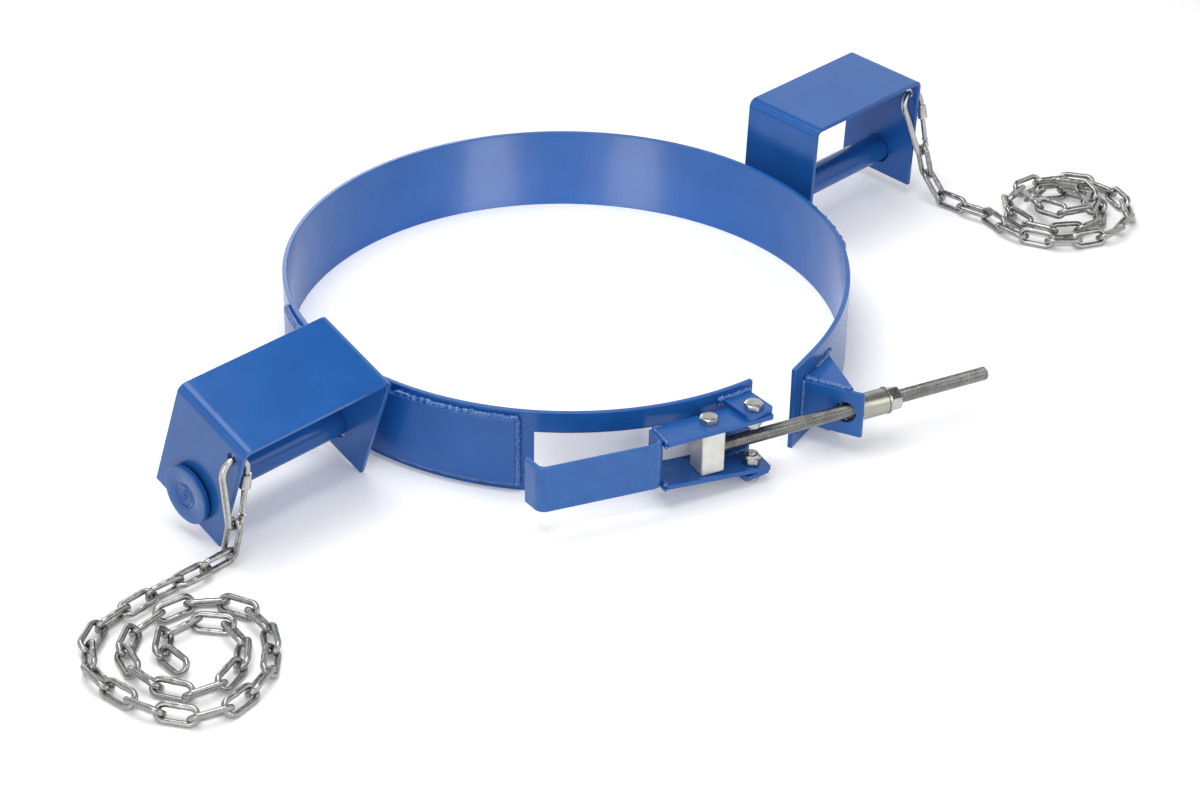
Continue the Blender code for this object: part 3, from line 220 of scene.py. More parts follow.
# ---------------------------------------------------------------- camera and stage


def make_camera():
    """The photograph's view: a long lens from the front left, looking down by about a third of a right angle."""
    data = bpy.data.cameras.new("product_camera")
    data.sensor_width = 36.0
    data.sensor_fit = "HORIZONTAL"
    data.lens = CAMERA_LENS
    data.clip_end = 50.0
    camera = bpy.data.objects.new("product_camera", data)
    right = Vector(CAMERA_RIGHT).normalized()
    back = Vector(CAMERA_BACK).normalized()
    up = back.cross(right).normalized()
    right = up.cross(back)
    turn = Matrix((right, up, back)).transposed().to_4x4()
    camera.matrix_world = Matrix.Translation(CAMERA_PLACE) @ turn
    bpy.context.scene.collection.objects.link(camera)
    bpy.context.scene.camera = camera


def area_lamp(name, place, target, size, power):
    """A white rectangle of light that looks at its target."""
    data = bpy.data.lights.new(name, "AREA")
    data.shape = "RECTANGLE"
    data.size, data.size_y = size
    data.energy = power
    lamp = bpy.data.objects.new(name, data)
    lamp.location = place
    lamp.rotation_euler = (Vector(target) - Vector(place)).to_track_quat("-Z", "Y").to_euler()
    bpy.context.scene.collection.objects.link(lamp)
    return lamp


def make_lamps():
    """A wide soft box overhead, strips round it, and two strips under the light table that the ring mirrors."""
    area_lamp("overhead_box", (-0.3, 0.1, 2.2), (0.0, 0.0, 0.0), (2.2, 1.6), 44.0)
    area_lamp("left_strip", (-2.4, -0.9, 1.3), (0.0, 0.0, 0.05), (0.9, 2.0), 13.0)
    area_lamp("front_fill", (0.4, -2.6, 1.4), (0.0, 0.0, 0.05), (2.2, 1.0), 12.0)
    area_lamp("back_strip", (0.9, 2.2, 1.2), (0.0, 0.0, 0.05), (1.6, 0.5), 10.0)
    for name, place, target in (
        ("table_strip_back", (0.0726, 0.0141, -0.116), (0.137, 0.316, 0.048)),
        ("table_strip_right", (-0.043, 0.1174, -0.1125), (0.255, 0.200, 0.051)),
    ):
        lamp = area_lamp(name, place, target, (0.060, 0.13), 0.14)
        lamp.data.cycles.use_multiple_importance_sampling = False


def make_ceiling():
    """The dark ceiling over the white cove. Only reflections and shade show it, never the camera."""
    mesh = bpy.data.meshes.new("studio_ceiling")
    reach, height = 2.3, 2.7
    corners = [(-reach, -reach, height), (reach, -reach, height), (reach, reach, height), (-reach, reach, height)]
    mesh.from_pydata(corners, [], [(3, 2, 1, 0)])
    ceiling = bpy.data.objects.new("studio_ceiling", mesh)
    finish = bpy.data.materials.new("dark_ceiling")
    finish.use_nodes = True
    shader = finish.node_tree.nodes["Principled BSDF"]
    shader.inputs["Base Color"].default_value = (0.04, 0.04, 0.04, 1.0)
    shader.inputs["Roughness"].default_value = 0.9
    mesh.materials.append(finish)
    bpy.context.scene.collection.objects.link(ceiling)
    ceiling.visible_camera = False


def looked_at(tree):
    """A mask that is 1 where the camera, a mirror or glass looks straight at a thing, and 0 for all other light."""
    light = tree.nodes.new("ShaderNodeLightPath")
    most = tree.nodes.new("ShaderNodeMath")
    most.operation = "MAXIMUM"
    both = tree.nodes.new("ShaderNodeMath")
    both.operation = "MAXIMUM"
    tree.links.new(light.outputs["Is Camera Ray"], most.inputs[0])
    tree.links.new(light.outputs["Is Glossy Ray"], most.inputs[1])
    tree.links.new(most.outputs[0], both.inputs[0])
    tree.links.new(light.outputs["Is Transmission Ray"], both.inputs[1])
    return both.outputs[0]


def make_world():
    """Soft white light from all round, and plain white where the camera or a mirror looks past the part."""
    world = bpy.data.worlds.new("white_studio")
    world.use_nodes = True
    tree = world.node_tree
    tree.nodes.clear()
    soft = tree.nodes.new("ShaderNodeBackground")
    soft.inputs["Color"].default_value = (1.0, 1.0, 1.0, 1.0)
    soft.inputs["Strength"].default_value = 0.50
    plain = tree.nodes.new("ShaderNodeBackground")
    plain.inputs["Color"].default_value = (1.0, 1.0, 1.0, 1.0)
    plain.inputs["Strength"].default_value = 1.0
    choose = tree.nodes.new("ShaderNodeMixShader")
    out = tree.nodes.new("ShaderNodeOutputWorld")
    tree.links.new(looked_at(tree), choose.inputs[0])
    tree.links.new(soft.outputs[0], choose.inputs[1])
    tree.links.new(plain.outputs[0], choose.inputs[2])
    tree.links.new(choose.outputs[0], out.inputs[0])
    bpy.context.scene.world = world


def make_floor():
    """A pale floor that takes the shadows, well past the edges of every view."""
    mesh = bpy.data.meshes.new("studio_floor")
    reach = 7.0
    corners = [(-reach, -reach, 0), (reach, -reach, 0), (reach, reach, 0), (-reach, reach, 0)]
    mesh.from_pydata(corners, [], [(0, 1, 2, 3)])
    floor = bpy.data.objects.new("studio_floor", mesh)
    finish = bpy.data.materials.new("pale_floor")
    finish.use_nodes = True
    shader = finish.node_tree.nodes["Principled BSDF"]
    shader.inputs["Base Color"].default_value = (0.93, 0.93, 0.93, 1.0)
    shader.inputs["Roughness"].default_value = 0.75
    shader.inputs["Specular IOR Level"].default_value = 0.2
    shader.inputs["Emission Color"].default_value = (1.0, 1.0, 1.0, 1.0)
    shader.inputs["Emission Strength"].default_value = 0.16
    mesh.materials.append(finish)
    bpy.context.scene.collection.objects.link(floor)
    floor.visible_shadow = False


# ---------------------------------------------------------------- finishes


def surface_group():
    """Node group: a broad mottle mask, a fine grain mask and a normal bumped by both, from object coordinates."""
    tree = bpy.data.node_groups.new("metal_surface", "ShaderNodeTree")
    for name, value in (
        ("Broad Scale", 30.0), ("Fine Scale", 400.0), ("Fine Height", 0.00003), ("Broad Height", 0.0001),
    ):
        socket = tree.interface.new_socket(name, in_out="INPUT", socket_type="NodeSocketFloat")
        socket.default_value = value
    tree.interface.new_socket("Mottle", in_out="OUTPUT", socket_type="NodeSocketFloat")
    tree.interface.new_socket("Grain", in_out="OUTPUT", socket_type="NodeSocketFloat")
    tree.interface.new_socket("Normal", in_out="OUTPUT", socket_type="NodeSocketVector")
    start = tree.nodes.new("NodeGroupInput")
    end = tree.nodes.new("NodeGroupOutput")
    place = tree.nodes.new("ShaderNodeTexCoord")
    masks = []
    for scale, detail in (("Broad Scale", 3.0), ("Fine Scale", 2.0)):
        noise = tree.nodes.new("ShaderNodeTexNoise")
        noise.inputs["Detail"].default_value = detail
        noise.inputs["Roughness"].default_value = 0.5
        tree.links.new(place.outputs["Object"], noise.inputs["Vector"])
        tree.links.new(start.outputs[scale], noise.inputs["Scale"])
        masks.append(noise.outputs["Fac"])
    heights = []
    for mask, height in zip(masks, ("Broad Height", "Fine Height")):
        times = tree.nodes.new("ShaderNodeMath")
        times.operation = "MULTIPLY"
        tree.links.new(mask, times.inputs[0])
        tree.links.new(start.outputs[height], times.inputs[1])
        heights.append(times.outputs[0])
    total = tree.nodes.new("ShaderNodeMath")
    tree.links.new(heights[0], total.inputs[0])
    tree.links.new(heights[1], total.inputs[1])
    bump = tree.nodes.new("ShaderNodeBump")
    bump.inputs["Distance"].default_value = 1.0
    tree.links.new(total.outputs[0], bump.inputs["Height"])
    tree.links.new(masks[0], end.inputs["Mottle"])
    tree.links.new(masks[1], end.inputs["Grain"])
    tree.links.new(bump.outputs["Normal"], end.inputs["Normal"])
    return tree


METAL_SURFACE = surface_group()


def finish_of(name, dark, light, rough, metallic=0.0, scales=(30.0, 400.0), heights=(0.0001, 0.00003), **plain):
    """A material whose colour runs from dark to light with the mottle, and whose roughness follows the grain."""
    material = bpy.data.materials.new(name)
    material.use_nodes = True
    tree = material.node_tree
    shader = tree.nodes["Principled BSDF"]
    shader.inputs["Metallic"].default_value = metallic
    for key, value in plain.items():
        shader.inputs[key.replace("_", " ")].default_value = value
    surface = tree.nodes.new("ShaderNodeGroup")
    surface.node_tree = METAL_SURFACE
    surface.inputs["Broad Scale"].default_value = scales[0]
    surface.inputs["Fine Scale"].default_value = scales[1]
    surface.inputs["Broad Height"].default_value = heights[0]
    surface.inputs["Fine Height"].default_value = heights[1]
    ramp = tree.nodes.new("ShaderNodeValToRGB")
    ramp.color_ramp.elements[0].position = 0.32
    ramp.color_ramp.elements[0].color = (*dark, 1.0)
    ramp.color_ramp.elements[1].position = 0.68
    ramp.color_ramp.elements[1].color = (*light, 1.0)
    tree.links.new(surface.outputs["Mottle"], ramp.inputs["Fac"])
    tree.links.new(ramp.outputs["Color"], shader.inputs["Base Color"])
    spread = tree.nodes.new("ShaderNodeMapRange")
    spread.inputs["From Min"].default_value = 0.3
    spread.inputs["From Max"].default_value = 0.7
    spread.inputs["To Min"].default_value = rough[0]
    spread.inputs["To Max"].default_value = rough[1]
    tree.links.new(surface.outputs["Grain"], spread.inputs["Value"])
    tree.links.new(spread.outputs["Result"], shader.inputs["Roughness"])
    tree.links.new(surface.outputs["Normal"], shader.inputs["Normal"])
    return material


ENAMEL = finish_of(
    "glossy_blue_enamel", (0.0105, 0.090, 0.335), (0.0135, 0.106, 0.375), (0.20, 0.27),
    scales=(22.0, 330.0), heights=(0.00022, 0.000018), Coat_Weight=0.10, Coat_Roughness=0.08, Specular_IOR_Level=0.36,
)
WELD_ENAMEL = finish_of(
    "enamel_on_welds", (0.0095, 0.084, 0.320), (0.0145, 0.110, 0.380), (0.13, 0.20),
    scales=(240.0, 700.0), heights=(0.0004, 0.00003), Coat_Weight=0.8, Coat_Roughness=0.05,
)
HAMMERED = finish_of(
    "enamel_on_the_handle", (0.012, 0.098, 0.350), (0.016, 0.118, 0.395), (0.20, 0.27),
    scales=(95.0, 300.0), heights=(0.00013, 0.000015), Coat_Weight=0.12, Coat_Roughness=0.08, Specular_IOR_Level=0.42,
)
ZINC = finish_of(
    "bright_zinc_plate", (0.40, 0.40, 0.39), (0.52, 0.52, 0.505), (0.20, 0.34), 1.0,
    scales=(120.0, 900.0), heights=(0.00006, 0.000008),
)
# Painted shade: the chain's zinc is darker than the other zinc, so that its links look as if they mirrored dark
# surroundings that the white studio lacks.
CHAIN_ZINC_DARKENED_AS_PAINTED_SHADE = finish_of(
    "bright_zinc_on_chain_darkened_as_painted_shade", (0.27, 0.27, 0.26), (0.38, 0.38, 0.365), (0.18, 0.32), 1.0,
    scales=(170.0, 1100.0), heights=(0.00010, 0.000012),
)
THREAD_ZINC = finish_of(
    "zinc_on_thread", (0.22, 0.22, 0.21), (0.32, 0.32, 0.305), (0.20, 0.32), 1.0,
    scales=(90.0, 900.0), heights=(0.00003, 0.000006),
)
TUBE_ZINC = finish_of(
    "yellowish_zinc_tube", (0.35, 0.345, 0.30), (0.44, 0.435, 0.39), (0.26, 0.38), 1.0,
    scales=(60.0, 800.0), heights=(0.00004, 0.000010),
)
BLOCK_ZINC = finish_of(
    "dull_zinc_block", (0.60, 0.60, 0.57), (0.72, 0.71, 0.68), (0.38, 0.52), 0.7,
    scales=(70.0, 600.0), heights=(0.00006, 0.000025),
)
BLANK_LABEL = finish_of(
    "blank_white_label", (0.90, 0.905, 0.92), (0.92, 0.925, 0.935), (0.28, 0.32),
    scales=(9.0, 200.0), heights=(0.00002, 0.000002), Coat_Weight=0.10,
)


# ---------------------------------------------------------------- surfaces


def turned_to(degrees):
    """Unit vector in the floor plane at this angle from +X."""
    angle = np.radians(degrees)
    return np.stack([np.cos(angle), np.sin(angle)], -1)


def unit(rows):
    """Vectors divided by their own length."""
    return rows / np.maximum(np.linalg.norm(rows, axis=-1, keepdims=True), 1e-12)


def skin(rows, loop=False, caps=True, first=0):
    """Quads over a grid of points rows[i, k], closed round k, and round i if it is a loop; caps close its ends."""
    n, m = rows.shape[:2]
    i = np.arange(n if loop else n - 1)[:, None]
    k = np.arange(m)[None, :]
    after = (i + 1) % n
    quads = np.stack([i * m + k, i * m + (k + 1) % m, after * m + (k + 1) % m, after * m + k], -1)
    faces = (quads.reshape(-1, 4) + first).tolist()
    if caps and not loop:
        faces.append((np.arange(m)[::-1] + first).tolist())
        faces.append((np.arange((n - 1) * m, n * m) + first).tolist())
    return rows.reshape(-1, 3), faces


def piece(name, shells, finish, body, stands_for=(), sharp=38.0):
    """An object at the origin from one or more closed shells of (points, faces), each shell turned outwards."""
    points, faces, first = [], [], 0
    for shell_points, shell_faces in shells:
        points.append(shell_points)
        faces += [[v + first for v in face] for face in shell_faces]
        first += len(shell_points)
    mesh = bpy.data.meshes.new(name)
    mesh.from_pydata(np.concatenate(points).tolist(), [], faces)
    build = bmesh.new()
    build.from_mesh(mesh)
    bmesh.ops.remove_doubles(build, verts=build.verts, dist=1e-6)
    bmesh.ops.recalc_face_normals(build, faces=build.faces)
    build.to_mesh(mesh)
    build.free()
    mesh.shade_smooth()
    mesh.set_sharp_from_angle(angle=math.radians(sharp))
    mesh.materials.append(finish)
    thing = bpy.data.objects.new(name, mesh)
    bpy.context.scene.collection.objects.link(thing)
    if stands_for:
        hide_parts(*stands_for)
    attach(thing, body)
    return thing


def punch(thing, shells):
    """Takes closed shells away from a piece for good."""
    points, faces = shells
    mesh = bpy.data.meshes.new("punch")
    mesh.from_pydata(points.tolist(), [], faces)
    build = bmesh.new()
    build.from_mesh(mesh)
    bmesh.ops.recalc_face_normals(build, faces=build.faces)
    build.to_mesh(mesh)
    build.free()
    tool = bpy.data.objects.new("punch", mesh)
    bpy.context.scene.collection.objects.link(tool)
    step = thing.modifiers.new("punch", "BOOLEAN")
    step.operation = "DIFFERENCE"
    step.solver = "EXACT"
    step.object = tool
    bpy.context.view_layer.update()
    shape = thing.evaluated_get(bpy.context.evaluated_depsgraph_get())
    result = bpy.data.meshes.new_from_object(shape)
    thing.modifiers.clear()
    thing.data = result
    bpy.data.objects.remove(tool)
    result.shade_smooth()
    result.set_sharp_from_angle(angle=math.radians(38.0))


def arc(centre, radius, start, end, step):
    """Points on an arc in the floor plane from one angle to another, in degrees."""
    count = max(2, int(round(abs(end - start) / step)) + 1)
    return np.asarray(centre) + radius * turned_to(np.linspace(start, end, count))


def rounded(corners, radius, step=5.0):
    """A path through the corners: straight runs joined by arcs of this radius that touch both."""
    corners = [np.asarray(c, float) for c in corners]
    parts = [corners[0][None]]
    for before, corner, after in zip(corners, corners[1:], corners[2:]):
        back, ahead = unit(before - corner), unit(after - corner)
        half = math.acos(float(np.clip(back @ ahead, -1, 1))) / 2
        middle = corner + unit(back + ahead) * radius / math.sin(half)
        spoke = corner + back * radius / math.tan(half) - middle
        swing = math.pi - 2 * half
        if back[0] * ahead[1] - back[1] * ahead[0] > 0:
            swing = -swing
        turns = np.linspace(0, swing, max(2, int(round(abs(math.degrees(swing)) / step)) + 1))
        side = np.array([-spoke[1], spoke[0]])
        parts.append(middle + np.cos(turns)[:, None] * spoke + np.sin(turns)[:, None] * side)
    parts.append(corners[-1][None])
    return np.concatenate(parts)


def edged_section(width, height, radius, steps=4):
    """A rectangle's outline with rounded corners, and a point on each flat just before its corner."""
    radius = max(radius, 1e-5)
    turns = np.linspace(0, np.pi / 2, steps)
    parts = []
    for quarter, (sx, sy) in enumerate(((1, 1), (-1, 1), (-1, -1), (1, -1))):
        centre = np.array([sx * (width / 2 - radius), sy * (height / 2 - radius)])
        angles = turns + quarter * np.pi / 2
        spokes = np.stack([np.cos(angles), np.sin(angles)], -1)
        bend = centre + radius * spokes
        before = bend[:1] - GUARD * np.array([[-spokes[0, 1], spokes[0, 0]]])
        behind = bend[-1:] + GUARD * np.array([[-spokes[-1, 1], spokes[-1, 0]]])
        parts += [before, bend, behind]
    return np.concatenate(parts)


def flat_bar(path, thick, low, high, edge, step, e1=(1, 0, 0), e2=(0, 1, 0), e3=(0, 0, 1), origin=(0, RING_Y, 0)):
    """A bar standing on edge along a path: its rounded section is carried along the path, and within
    one edge radius of each end it shrinks along a quarter circle, so that the ends are rounded too."""
    runs = np.concatenate([[0.0], np.cumsum(np.linalg.norm(np.diff(path, axis=0), axis=1))])
    length = runs[-1]
    turns = np.radians([90.0, 60.0, 30.0, 0.0])
    count = max(2, int((length - 2 * edge) / step))
    inner = np.linspace(edge, length - edge, count + 1)
    ahead = edge * (1 - np.sin(turns))
    sink = edge * (1 - np.cos(turns))
    inner = np.concatenate([[edge + GUARD], inner[1:-1], [length - edge - GUARD]])
    places = np.concatenate([ahead, inner, length - ahead[::-1]])
    insets = np.concatenate([sink, np.zeros(len(inner)), sink[::-1]])
    spots = np.stack([np.interp(places, runs, path[:, 0]), np.interp(places, runs, path[:, 1])], -1)
    near = np.clip(places, FINE, length - FINE)
    ahead_xy = np.stack([np.interp(near + FINE, runs, path[:, k]) for k in (0, 1)], -1)
    behind_xy = np.stack([np.interp(near - FINE, runs, path[:, k]) for k in (0, 1)], -1)
    tangent = unit(ahead_xy - behind_xy)
    normal = np.stack([tangent[:, 1], -tangent[:, 0]], -1)
    sections = np.stack([edged_section(thick - 2 * i, high - low - 2 * i, edge - i) for i in insets])
    flat = spots[:, None, :] + normal[:, None, :] * sections[..., :1]
    tall = (low + high) / 2 + sections[..., 1]
    e1, e2, e3 = (np.asarray(e, float) for e in (e1, e2, e3))
    rows = np.asarray(origin) + flat[..., :1] * e1 + flat[..., 1:] * e2 + tall[..., None] * e3
    return skin(rows)


def revolve(profile, e1, e2, e3, origin, sides=48):
    """A closed profile of (radius, height) points turned about the line through origin along e3."""
    profile = np.asarray(profile, float)
    angles = np.linspace(0, 2 * np.pi, sides, endpoint=False)
    e1, e2, e3 = (np.asarray(e, float) for e in (e1, e2, e3))
    spokes = np.cos(angles)[:, None] * e1 + np.sin(angles)[:, None] * e2
    return np.asarray(origin) + profile[:, None, :1] * spokes[None] + profile[:, None, 1:] * e3


def tube(path, radius, reference, sides=16, loop=False, round_ends=False):
    """A wire along a path: a circle carried along it, square to its run. reference is the way that one
    side of the circle keeps to. Round ends shrink the circle along a quarter of a sphere."""
    path = np.asarray(path, float)
    radius = np.broadcast_to(np.asarray(radius, float), (len(path),)).copy()
    if loop:
        tangent = unit(np.roll(path, -1, 0) - np.roll(path, 1, 0))
    else:
        tangent = unit(np.gradient(path, axis=0))
    if round_ends:
        turns = np.radians([88.0, 66.0, 44.0, 22.0])
        for end in (0, -1):
            way = -tangent[end] if end == 0 else tangent[end]
            cap = path[end] + way * radius[end] * np.sin(turns)[:, None]
            size = radius[end] * np.cos(turns)
            run = np.repeat(tangent[end][None], 4, 0)
            if end == 0:
                path = np.concatenate([cap, path])
                radius = np.concatenate([size, radius])
                tangent = np.concatenate([run, tangent])
            else:
                path = np.concatenate([path, cap[::-1]])
                radius = np.concatenate([radius, size[::-1]])
                tangent = np.concatenate([tangent, run])
    reference = np.broadcast_to(np.asarray(reference, float), path.shape)
    side = unit(np.cross(tangent, reference))
    up = unit(np.cross(side, tangent))
    angles = np.linspace(0, 2 * np.pi, sides, endpoint=False)
    ring = np.cos(angles)[None, :, None] * side[:, None] + np.sin(angles)[None, :, None] * up[:, None]
    return skin(path[:, None] + ring * radius[:, None, None], loop=loop)


def weld_bead(path, size, reference, loop=False, seed=0.0):
    """A weld: a wire along the joint. Its thickness swells with a cosine at each ripple, and in lumps of
    uneven length that are a product of two sines. The middle of an open bead strays up and down by a sine."""
    path = np.asarray(path, float)
    if loop:
        path = np.concatenate([path, path[:1]])
    runs = np.concatenate([[0.0], np.cumsum(np.linalg.norm(np.diff(path, axis=0), axis=1))])
    length = runs[-1]
    s = np.linspace(0, length, max(12, int(length / WELD_STEP)), endpoint=not loop)
    fine = np.stack([np.interp(s, runs, path[:, k]) for k in range(3)], -1)
    if loop:
        turns = s * 2 * np.pi / length
        lumps = 0.12 * np.sin(9 * turns + seed * 5) * np.sin(4 * turns + seed)
        wander = 0.07 * np.sin(14 * turns + seed * 3)
        phase = turns * round(length / WELD_RIPPLE) + 0.8 * np.sin(5 * turns + seed)
    else:
        lumps = 0.20 * np.sin(s * 470 + seed * 5 + 1.6 * np.sin(s * 130 + seed)) * np.sin(s * 205 + seed)
        wander = 0.07 * np.sin(s * 820 + seed * 3)
        phase = 2 * np.pi * s / WELD_RIPPLE + 0.8 * np.sin(s * 310 + seed)
        fine[:, 2] += size * 0.13 * np.sin(s * 260 + seed * 4)
    ripple = 0.5 + 0.5 * np.cos(phase)
    return tube(fine, size * (0.92 + 0.12 * ripple + wander + lumps), reference, 14, loop, not loop)


def to_row(points):
    """Points of the ring's own frame moved by the ring's place, into the part's frame."""
    points = np.asarray(points, float).copy()
    points[..., 1] += RING_Y
    return points


def at_height(flat, z):
    """Points in the floor plane of the ring, lifted to a height, in the part's frame."""
    flat = np.asarray(flat, float)
    return to_row(np.concatenate([flat, np.full((len(flat), 1), z)], -1))


def upright(spot, rise):
    """A plumb line over a spot in the ring's floor plane, in the part's frame."""
    return to_row(np.stack([np.full(len(rise), spot[0]), np.full(len(rise), spot[1]), rise], -1))


# ---------------------------------------------------------------- clamp ring


def band_path():
    """The middle of the strip: an arc of the ring, an arc of a wider circle that touches it, and a straight end."""
    path = arc((0, 0), BAND_MID_R, BAND_LEFT_END, BAND_EASE_FROM - 360, 0.75)
    centre = (BAND_MID_R - BAND_EASE_R) * turned_to(BAND_EASE_FROM)
    bend = arc(centre, BAND_EASE_R, BAND_EASE_FROM, BAND_FLAT_TURN, 0.75)
    end = bend[-1] + BAND_FLAT_LENGTH * turned_to(BAND_FLAT_TURN - 90)
    return np.concatenate([path, bend[1:], end[None]])


def make_band():
    """The flat strip stood on edge along its path."""
    shell = flat_bar(band_path(), BAND_THICK, 0.0, BAND_HEIGHT, 0.0007, 0.004)
    piece("clamp_band_steel", [shell], ENAMEL, "ring", ["clamp_band"])


def make_doubler(side):
    """An arc of plate outside the band, with beads along two stretches of each long edge and up both ends."""
    middle = 180 + DOUBLER_MIDDLE if side == "left" else -DOUBLER_MIDDLE
    low, high = middle - DOUBLER_SPAN / 2, middle + DOUBLER_SPAN / 2
    path = arc((0, 0), DOUBLER_MID_R, low, high, 0.7)
    shell = flat_bar(path, DOUBLER_THICK, DOUBLER_LOW, DOUBLER_HIGH, 0.0010, 0.004)
    piece(f"doubler_plate_{side}", [shell], ENAMEL, "ring", [f"doubler_{side}"])
    beads = []
    front, way = (high, -1) if side == "left" else (low, 1)
    for n, (start, stop) in enumerate(DOUBLER_SEAMS):
        flat = arc((0, 0), BAND_OUTER_R + 0.0022, front + way * start, front + way * stop, 0.3)
        seed = n + SIGN[side]
        beads.append(weld_bead(at_height(flat, DOUBLER_HIGH + 0.0006), 0.0034, UPWARD, seed=seed))
        beads.append(weld_bead(at_height(flat, DOUBLER_LOW - 0.0006), 0.0028, UPWARD, seed=seed + 4))
    rise = np.linspace(DOUBLER_LOW + 0.002, DOUBLER_HIGH - 0.002, 90)
    for n, (end, past) in enumerate(((low, -0.27), (high, 0.27))):
        spot = turned_to(end + past) * (BAND_OUTER_R + 0.0018)
        beads.append(weld_bead(upright(spot, rise), 0.0036, (1, 0, 0), seed=n + 9 + SIGN[side]))
    piece(f"doubler_welds_{side}", beads, WELD_ENAMEL, "ring")


def make_axle(side):
    """A round bar whose inner end follows the doubler: at each angle the bar starts where the ring's circle
    has the bar's own y. The disc on its outer end has a hole filled with weld."""
    sign = SIGN[side]
    angles = np.linspace(0, 2 * np.pi, 72, endpoint=False)
    y, z = np.cos(angles), np.sin(angles)

    def round_axle(x, radius):
        """Points at a radius from the axle's line and at these distances along it, in the part's frame."""
        return to_row(np.stack(np.broadcast_arrays(sign * x, AXLE_Y + radius * y, AXLE_Z + radius * z), -1))

    start = np.sqrt((DOUBLER_OUTER_R + CLEAR) ** 2 - (AXLE_Y + AXLE_R * y) ** 2)
    stations = (start, 0.312, 0.40, CAP_INNER_X + CAP_THICK - PLUG_SUNK)
    bar = skin(np.stack([round_axle(x, AXLE_R) for x in stations]))
    piece(f"stub_axle_{side}", [bar], ENAMEL, "ring", [f"axle_{side}"])
    # the weld round its root, on the doubler
    seam_r = AXLE_R + 0.0018
    seam_x = np.sqrt(DOUBLER_OUTER_R**2 - (AXLE_Y + seam_r * y) ** 2) + 0.0012
    bead = weld_bead(round_axle(seam_x, seam_r), 0.0042, (1, 0, 0), loop=True, seed=2.0 + sign)
    piece(f"axle_weld_{side}", [bead], WELD_ENAMEL, "ring")
    # the cap: a disc with rounded rims
    inner, outer = CAP_INNER_X, CAP_INNER_X + CAP_THICK
    hole, rim, turns = AXLE_R - 0.0025, CAP_R - CAP_EDGE, np.radians(np.linspace(0, 90, 5))
    profile = [(hole, inner), (rim - 0.001, inner)]
    profile += [(rim + CAP_EDGE * math.sin(t), inner + CAP_EDGE - CAP_EDGE * math.cos(t)) for t in turns]
    profile += [(rim + CAP_EDGE * math.cos(t), outer - CAP_EDGE + CAP_EDGE * math.sin(t)) for t in turns]
    profile += [(rim - 0.001, outer), (hole + 0.001, outer), (hole, outer - 0.0006)]
    origin = to_row(np.array([0.0, AXLE_Y, AXLE_Z]))
    cap = skin(revolve(profile, (0, 1, 0), UPWARD, (sign, 0, 0), origin, 72), loop=True)
    # the plug weld in its hole: ripples along a spiral, and a slight star of five rays
    r = np.linspace(hole + 0.0012, 0.0002, 30)[:, None]
    spiral = r / PLUG_RIPPLE + angles / (2 * np.pi)
    height = 0.0004 * np.cos(2 * np.pi * spiral) + 0.0003 * np.sin(5 * angles + 900 * r) - 0.0006
    face = round_axle(outer + np.where(r > hole, -0.0016, height), r)
    back = face[:1].copy()
    back[..., 0] = sign * (inner + 0.001)
    plug = skin(np.concatenate([back, face]))
    piece(f"axle_end_disc_{side}", [cap, plug], ENAMEL, "ring", [f"axle_cap_{side}"], sharp=50)


# ---------------------------------------------------------------- fork sleeves


def sleeve_frame(side):
    """The sleeve's origin and its y and z axes, which its tilt turns about the axle, in the part's frame."""
    tilt = math.radians(SLEEVE_TILT[side])
    origin = np.array([0.0, AXLE_Y + RING_Y, AXLE_Z - SLEEVE_HANGS])
    return origin, np.array([0, math.cos(tilt), math.sin(tilt)]), np.array([0, -math.sin(tilt), math.cos(tilt)])


def drill(origin, ey, ez, x0, x1, y, z, radius, sides=64):
    """A round bar along the axle's way, from x0 to x1, to be taken away from a plate."""
    angles = np.linspace(0, 2 * np.pi, sides, endpoint=False)
    ring = origin + (y + radius * np.cos(angles))[:, None] * ey + (z + radius * np.sin(angles))[:, None] * ez
    rows = np.stack([ring + np.array([x0, 0, 0]), ring + np.array([x1, 0, 0])])
    return skin(rows)


def make_sleeve(side):
    """Plate bent to an upside-down channel: a rounded path round three sides, with the holes drilled after."""
    sign = SIGN[side]
    origin, ey, ez = sleeve_frame(side)
    half, depth = SLEEVE_THICK / 2, SLEEVE_DEPTH / 2
    inner, outer = SLEEVE_INNER_X + half, SLEEVE_INNER_X + SLEEVE_WIDTH - half
    top = SLEEVE_ABOVE - half
    path = rounded([(inner, -SLEEVE_BELOW), (inner, top), (outer, top), (outer, -SLEEVE_BELOW)], SLEEVE_BEND_R)
    shell = flat_bar(path, SLEEVE_THICK, -depth, depth, 0.0009, 0.0018, (sign, 0, 0), ez, ey, origin)
    sleeve = piece(f"fork_sleeve_plate_{side}", [shell], ENAMEL, f"sleeve_{side}", [f"fork_sleeve_{side}"])
    past = 0.01  # how far a drill goes past the plates
    reach = sorted((sign * (SLEEVE_INNER_X - past), sign * (SLEEVE_INNER_X + SLEEVE_WIDTH + past)))
    punch(sleeve, drill(origin, ey, ez, *reach, 0.0, 0.0, SLEEVE_HOLE_R))
    reach = sorted((sign * (CHEEK_X - past), sign * (CHEEK_X + past)))
    punch(sleeve, drill(origin, ey, ez, *reach, HOOK_HOLE_Y, HOOK_HOLE_Z, HOOK_HOLE_R, 40))


# ---------------------------------------------------------------- latch and drawbar


LATCH_ALONG = np.array([*turned_to(LATCH_TURN), 0.0])
LATCH_ACROSS = np.array([*turned_to(LATCH_TURN + 90), 0.0])
LATCH_ORIGIN = np.array([PIVOT[0], PIVOT[1] + RING_Y, 0.0])

def in_latch(u, v, z):
    """A place in the latch's own frame, u along the rod and v towards the ring, given in the part's frame."""
    u, v, z = np.broadcast_arrays(np.asarray(u, float), v, z)
    return LATCH_ORIGIN + u[..., None] * LATCH_ALONG + v[..., None] * LATCH_ACROSS + z[..., None] * UPWARD


def lower_plate_level(u):
    """The height of the lever's lower plate, under its thickness, which rises evenly to the left."""
    return LUG_BASE + PLATE_THICK + CLEAR + PLATE_DROP * (PLATE_RIGHT_U - u)


